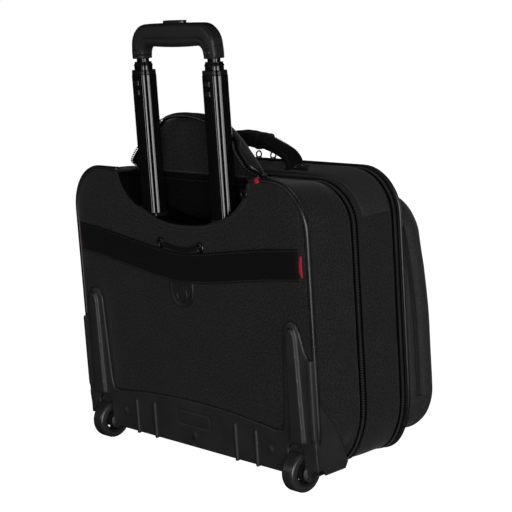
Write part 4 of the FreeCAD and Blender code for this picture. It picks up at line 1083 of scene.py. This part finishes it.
def build_badge():
    """A U-shaped moulded tab with a raised rim and a plain ring on it."""
    loop = spline(mirrored([(22, 237), (22, 228), (20.6, 219), (16.4, 211), (9.5, 206.2), (0, 204.6)], 1), 4)
    loop = np.vstack([loop, np.column_stack([np.linspace(-22, 22, 14)[1:-1], np.full(12, 237.0)])])
    base = back_y([[0.0, 222.0]])[0]
    levels = [(share, base + lift) for share, lift in ((0, 0), (0.0, 1.6), (0.03, 2.3), (0.12, 2.3), (0.15, 1.6),
                                                       (0.2, 1.4), (0.5, 1.4), (0.9, 1.4))]
    badge = grid("badge_tab_mould", drawn_in(loop, (0, 224), levels), "case", BADGE, closed_v=True)
    close_up(badge, len(loop))
    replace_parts(badge, "badge_tab")
    sweep("badge_ring", stood(round_section(9.5, 36) + (0, 221), base + 1.7), round_section(1.1, 8), (0, 1, 0),
          "case", BADGE, closed=True)


build_band()
build_badge()


# ---- moulded guard: the CAD's shape with soft edges ----

ARCH_HALF, ARCH_TOP, ARCH_FRONT, ARCH_BACK = 13.2, 61, 78, 118


def arch_cutter(x):
    """A tool with a round top, as wide as a wheel arch."""
    rise = ARCH_HALF * 0.7
    loop = [(x - ARCH_HALF, -2), (x + ARCH_HALF, -2)]
    loop += [(x + ARCH_HALF * math.cos(t), ARCH_TOP - rise + rise * math.sin(t))
             for t in np.linspace(0, math.pi, 15)]
    count = len(loop)
    faces = [list(range(count)), list(range(2 * count - 1, count - 1, -1))]
    faces += [[k + count, (k + 1) % count + count, (k + 1) % count, k] for k in range(count)]
    tool = make("arch_cutter", [(u, y, v) for y in (ARCH_FRONT, ARCH_BACK) for u, v in loop], faces, None, GUARD,
                shade=False)
    close_up(tool)
    return tool


def build_guard():
    """The CAD's guard with room in its wheel arches, remeshed so that every edge is moulded round."""
    source = ["base_guard", "guard_screws"]
    guard = bpy.data.objects.new("base_guard_moulded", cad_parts[source[0]].data.copy())
    bpy.context.scene.collection.objects.link(guard)
    tools = [arch_cutter(side * WHEEL_X) for side in (-1, 1)]
    for tool in tools:
        add(guard, "BOOLEAN", operation="DIFFERENCE", solver="EXACT", object=tool)
    bake(guard)
    for tool in tools:
        bpy.data.objects.remove(tool)
    with editing(guard) as mesh:
        mesh.from_mesh(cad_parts[source[1]].data)
    add(guard, "REMESH", mode="VOXEL", voxel_size=1.1 * MM, use_smooth_shade=True)
    add(guard, "SMOOTH", factor=0.5, iterations=4)
    bake(guard)
    # the ribs of the back plate are rounded more
    points = np.array([v.co[:] for v in guard.data.vertices]) / MM
    proud = np.where((points[:, 1] > 103.6) & (points[:, 2] > 62) & (np.abs(points[:, 0]) > 150))[0]
    guard.vertex_groups.new(name="ribs").add([int(k) for k in proud], 1.0, "REPLACE")
    add(guard, "SMOOTH", factor=0.6, iterations=14, vertex_group="ribs")
    bake(guard)
    # the inside of the wheel arches has a near-black material of its own: painted shade, as that inside is unlit
    guard.data.materials.clear()
    guard.data.materials.append(GUARD)
    guard.data.materials.append(ARCH_PAINTED_SHADE)
    middles = np.array([f.center[:] for f in guard.data.polygons]) / MM
    inside = (np.abs(np.abs(middles[:, 0]) - WHEEL_X) < 13.0) & (middles[:, 2] < ARCH_TOP) & (middles[:, 1] < 103)
    guard.data.polygons.foreach_set("material_index", inside.astype(np.int32))
    guard.data.polygons.foreach_set("use_smooth", [True] * len(guard.data.polygons))
    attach(guard, "case")
    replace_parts(guard, *source)


build_guard()


# ---- telescopic handle ----

def fluted(wide, deep):
    """Outline (x, y) of a tube: round corners, and one back corner cut to two ridges with a groove between."""
    a, b = wide / 2, deep / 2
    cut, small, scale = 0.34 * deep, 0.13 * deep, deep / 18.4
    corner = [(a - small + small * math.sin(t), -b + small - small * math.cos(t))
              for t in np.radians(np.arange(0, 91, 18))]
    plain = [(x, -y) for x, y in corner[::-1]]
    flute = [(0, -0.7), (0.03, -0.7), (0.045, 0.2), (0.12, 0.42), (0.22, 0.55), (0.32, 0.5), (0.39, 0.3), (0.5, -2.0),
             (0.61, 0.3), (0.68, 0.5), (0.78, 0.55), (0.88, 0.42), (0.955, 0.2), (0.97, -0.7), (1, -0.7)]
    left = list(corner)
    for t, rise in flute:
        lean = rise * scale / math.sqrt(2)
        left.append((a - cut * t + lean, b - cut + cut * t + lean))
    return np.vstack([corner + plain, np.array(left)[::-1] * (-1, 1)])


def tube_pieces(name, stands_for, levels, body, mat, thick=0.9):
    """Both sides' tubes or collars: the fluted outline of a CAD node through (z, growth) levels."""
    low, high = box_mm(stands_for)
    wide, deep, y = 2 * (high[0] - HANDLE_X), high[1] - low[1], (low[1] + high[1]) / 2
    for sign, word in SIDES:
        rows = [stood_flat(fluted(wide + 2 * grow, deep + 2 * grow) + (sign * HANDLE_X, y), z)
                for z, grow in levels]
        obj = grid(f"{name}_{word}", rows, body, mat, closed_v=True)
        obj.data.set_sharp_from_angle(angle=math.radians(28))
        add(obj, "SOLIDIFY", thickness=thick * MM, offset=-1)
        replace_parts(obj, stands_for)


def stood_flat(flat, z):
    """Points (x, y) laid at a height z."""
    return np.column_stack([flat, np.full(len(flat), z)])


def build_tubes():
    for stage, body, grow in (("fixed", "case", 0.0), ("first", "first_stage", 0.8),
                              ("second", "second_stage", 0.0), ("third", "third_stage", 0.0)):
        low, high = box_mm(f"{stage}_tubes")
        levels = [(z, grow) for z in (low[2], low[2] + 0.4, (low[2] + high[2]) / 2, high[2] - 0.4, high[2])]
        tube_pieces(f"{stage}_tube", f"{stage}_tubes", levels, body, TUBE)
        if stage == "first":
            for sign, word in SIDES:
                spots = np.array([(sign * HANDLE_X + 4.5, high[1] + 0.7, high[2] - drop) for drop in (10, 22)])
                scatter(f"tube_catch_{word}", spots, np.broadcast_to([1.0, 0, 0], (2, 3)),
                        np.broadcast_to([0, 1.0, 0], (2, 3)), block(9, 6, 0.6, 0.86), body, COLLAR)
    # collars: height above the foot or, from the first negative one on, below the top, and growth
    profiles = {"first": [(0, -0.6), (0.3, -0.1), (0.8, 0), (-1.6, 0), (-1.2, -0.5), (-0.9, 0.0), (-0.3, 0),
                          (-0.0, -0.4), (-0.0, -2.2)],
                "second": [(0, -0.6), (0.3, 0), (-4.4, 0), (-3.8, -0.2), (-1.2, -1.3), (-0.8, -0.9), (-0.2, -1.0),
                           (-0.0, -1.3), (-0.0, -2.6)]}
    for stage, profile in profiles.items():
        low, high = box_mm(f"{stage}_collars")
        levels = [((high if math.copysign(1, rise) < 0 else low)[2] + rise, grow) for rise, grow in profile]
        tube_pieces(f"{stage}_collar", f"{stage}_collars", levels, f"{stage}_stage", COLLAR, 0.8)


build_tubes()


def build_grip():
    """The grip's bar and legs as one moulding: rounded sections between an outer and an inner line."""
    low, high = box_mm("grip_base")
    top = box_mm("grip_cover")[1][2]
    half, bottom = high[0], low[2]
    y, deep = (low[1] + high[1]) / 2, (high[1] - low[1]) / 2 + 1.4
    under, r_out, r_in, leg = top - 27.2, 27.0, 11.0, 20.0

    def quarter(cx, cz, r):
        return [(cx + r * math.cos(t), cz + r * math.sin(t)) for t in np.linspace(0, math.pi / 2, 13)]

    outer = [(half + grow, bottom + rise) for grow, rise in ((0.2, 0), (1.0, 1.0), (1.2, 6), (0.8, 11))]
    outer += quarter(half - r_out, top - r_out, r_out)
    outer += [(x, top + 0.4 * (1 - (x / 50) ** 2)) for x in np.linspace(half - r_out, 0, 13)[1:]]
    inner = [(half - leg + 0.6, bottom)] + [(half - leg, bottom + rise) for rise in (1.0, 3, 5)]
    inner += quarter(half - leg - r_in, under - r_in, r_in)
    inner += [(x, under - 1.4 * (1 - (x / 46) ** 2)) for x in np.linspace(half - leg - r_in, 0, 13)[1:]]
    outer, inner = mirrored(outer, 1), mirrored(inner, 1)
    # section: share of the way from outer to inner, and share of the depth, once round
    back = [(0.0, 0.0), (0.0, 0.5), (0.015, 0.72), (0.06, 0.89), (0.14, 0.975), (0.26, 1.0), (0.5, 1.0), (0.66, 1.0),
            (0.672, 0.982), (0.684, 0.995), (0.84, 0.96), (0.94, 0.86), (0.985, 0.68), (1.0, 0.45)]
    section = np.array(back + [(1.0, 0.0)] + [(a, -b) for a, b in back[1:][::-1]])
    rows = []
    for o, i in zip(outer, inner):
        depth = deep * (1 - 0.04 * smooth((bottom + 16 - o[1]) / 10))
        rows.append(stood(o + (i - o) * section[:, :1], y + depth * section[:, 1]))
    grip = grid("grip_moulding", rows, "third_stage", GRIP, closed_v=True)
    close_up(grip, holes=True)
    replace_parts(grip, "grip_cover", "grip_base")
    # a screw in its recess in the back of each leg, and the parting line round the leg
    cup = ((4.4, -0.6), (4.3, 0.35), (3.9, 0.5), (3.3, 0.3), (3.0, -0.5))
    head = ((2.5, -0.5), (2.5, 0.1), (2.1, 0.45), (1.3, 0.5), (1.1, 0.1))
    k = int(np.argmin(np.abs(outer[:20, 1] - (bottom + 15.5))))
    parting = outer[k] + (inner[k] - outer[k]) * section[:, :1]
    for sign, word in SIDES:
        centre = (sign * HANDLE_X, y + deep * 0.97, bottom + 7.5)
        # the cup round each screw is black, darker than the grip: painted shade of the screw's recess
        turned(f"grip_screw_cup_shaded_{word}", cup, centre, "third_stage", COLLAR, 1.15)
        screw = turned(f"grip_screw_head_{word}", head, centre, "third_stage", DARK_STEEL)
        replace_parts(screw, "grip_screws")
        sweep(f"grip_parting_{word}", stood(parting * (sign, 1), y + deep * section[:, 1] * 0.97),
              round_section(0.35, 6), (0, 0, 1), "third_stage", COLLAR, closed=True)


build_grip()


# ---- interior ----

def build_interior():
    low, high = box_mm("divider_panel")
    loop, _ = outline(high[0], low[2], high[2], R_LOW - 4, R_TOP - 4, 100)
    levels = [(share, high[1] + rise) for share, rise in ((0, -1.2), (0.012, 0), (0.04, 0.8), (0.2, 1.2),
                                                          (0.6, 1.2), (0.93, 1.2))]
    cushion("divider_pad", drawn_in(loop, (0, (low[2] + high[2]) / 2), levels), "shell", "divider_panel", 2.6,
            (LINING,), facing=0)

    def sheet(name, rows, thick=2.0, uv=None):
        made = grid(name, rows, "case", LINING, uv=uv)
        thicken(made, thick, offset=0)
        return made

    # the laptop sleeve: its padded front, two sides, floor and back
    low, high = box_mm("laptop_sleeve")
    (_, front, foot), (half, back, top) = low, high
    xs, depths, heights = np.linspace(-1, 1, 41), np.linspace(front, back, 6), np.linspace(foot, top, 20)
    across = np.linspace(-1, 1, 30)
    rows = []
    for t in np.linspace(0, 1, 25):
        belly = 3.0 * math.sin(math.pi * min(t * 1.1, 1.0))
        rows.append([(x * half, front - belly * (1 - x ** 6) * 0.6, foot + (top - foot) * t) for x in xs])
    sleeve = sheet("laptop_sleeve_pad", rows, 4.0, face_uv)
    for sign, word in SIDES:
        sheet(f"sleeve_side_{word}", [[(sign * half, y, z) for y in depths] for z in heights])
    sheet("sleeve_floor", [[(x * half, y, foot + 1) for y in depths] for x in across])
    sheet("sleeve_back", [[(x * half, back, z) for x in across] for z in heights])
    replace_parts(sleeve, "laptop_sleeve")
    path = np.column_stack([xs * half, np.full(41, front), np.full(41, top + 0.4)])
    sweep("sleeve_binding", path, round_section(2.8), (0, 0, 1), "case", BINDING)
    strap = [(0, back - 2, top - 20), (0, back - 3, top + 4), (0, (front + back) / 2, top + 9),
             (0, front - 4, top + 2), (0, front - 6, top - 30)]
    sweep("sleeve_strap", spline(strap, 6), slab_section(38, 2.0), (0, 0, 1), "case", WEBBING)


build_interior()


# ---- zip sliders and pulls ----

RING, RING_LIFT = 4.5, 4.7


def build_slider(word, body, pull_body, x, y, z, along="x", second=False):
    """A slider's shell with its bridge, and a ring pull through it."""
    def turn(points):
        points = np.asarray(points, float)
        if along == "y":
            points = points[..., [1, 0, 2]]
        return points + (x, y, z)
    suffix = "_second" if second else ""
    plan = [(-6.0, 2.6), (-4.2, 4.3), (0, 4.6), (3.2, 3.6), (5.2, 2.6), (6.0, 1.6)]
    loop = np.array(plan + [(a, -b) for a, b in plan[::-1]])
    rows = [turn(stood_flat(loop * scale, lift))
            for scale, lift in ((0.9, 0.4), (1.0, 0.8), (1.0, 2.6), (0.93, 3.1), (0.6, 3.3))]
    shell = grid(f"{word}_slider_shell{suffix}", rows, body, SLIDER, closed_v=True)
    close_up(shell, len(loop))
    bridge = turn([(-4.6, 0, 3.0), (-4.0, 0, 5.4), (-1.5, 0, 6.6), (1.5, 0, 6.6), (4.0, 0, 5.4), (4.6, 0, 3.0)])
    sweep(f"{word}_slider_bridge{suffix}", spline(bridge, 4), slab_section(2.4, 1.0), (0, 0, 1), body, SLIDER)
    middle = (0, RING_LIFT + RING)
    ring = turn(np.column_stack([np.zeros(28), round_section(RING, 28) + middle]))
    pull = sweep(f"{word}_pull_ring{suffix}", ring, round_section(1.0, 8), unit(ring - turn([(0, *middle)])),
                 pull_body, SLIDER, closed=True)
    if not second:
        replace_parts(shell, f"{word}_slider")
        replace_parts(pull, f"{word}_pull")


# each long zip's first slider moves, and its second one stays: the body that it is on, and both places along X
LONG_ZIPS = (("main", "case", 14, -11, MAIN_ZIP, HIGH - DIP), ("front", "shell", 16, -11, FRONT_ZIP, HIGH),
             ("pocket", "front", 12, -14, POCKET_TOP_Y, P_HIGH))
for word, body, x, second_x, y, z in LONG_ZIPS:
    build_slider(word, f"{word}_slider_body", f"{word}_pull_body", x, y, z)
build_slider("flap", "flap_slider_body", "flap_pull_body", -132, 85.2, HIGH, along="y")
for word, body, x, second_x, y, z in LONG_ZIPS:
    build_slider(word, body, body, second_x, y, z, second=True)

sweep("flap_pull_ribbon", spline([(-130, 86, 371), (-134, 92, 372.8), (-139, 98, 374.4), (-143, 102.4, 373.4),
                                  (-146, 104.4, 369.6)], 5),
      slab_section(5.0, 1.2), (0, 0.5, 1), "case", RED)
sweep("flap_pull_ring_second", stood(round_section(RING, 28) + (-121.5, 355), 104.2), round_section(1.0, 8),
      (0, 1, 0), "case", SLIDER, closed=True)
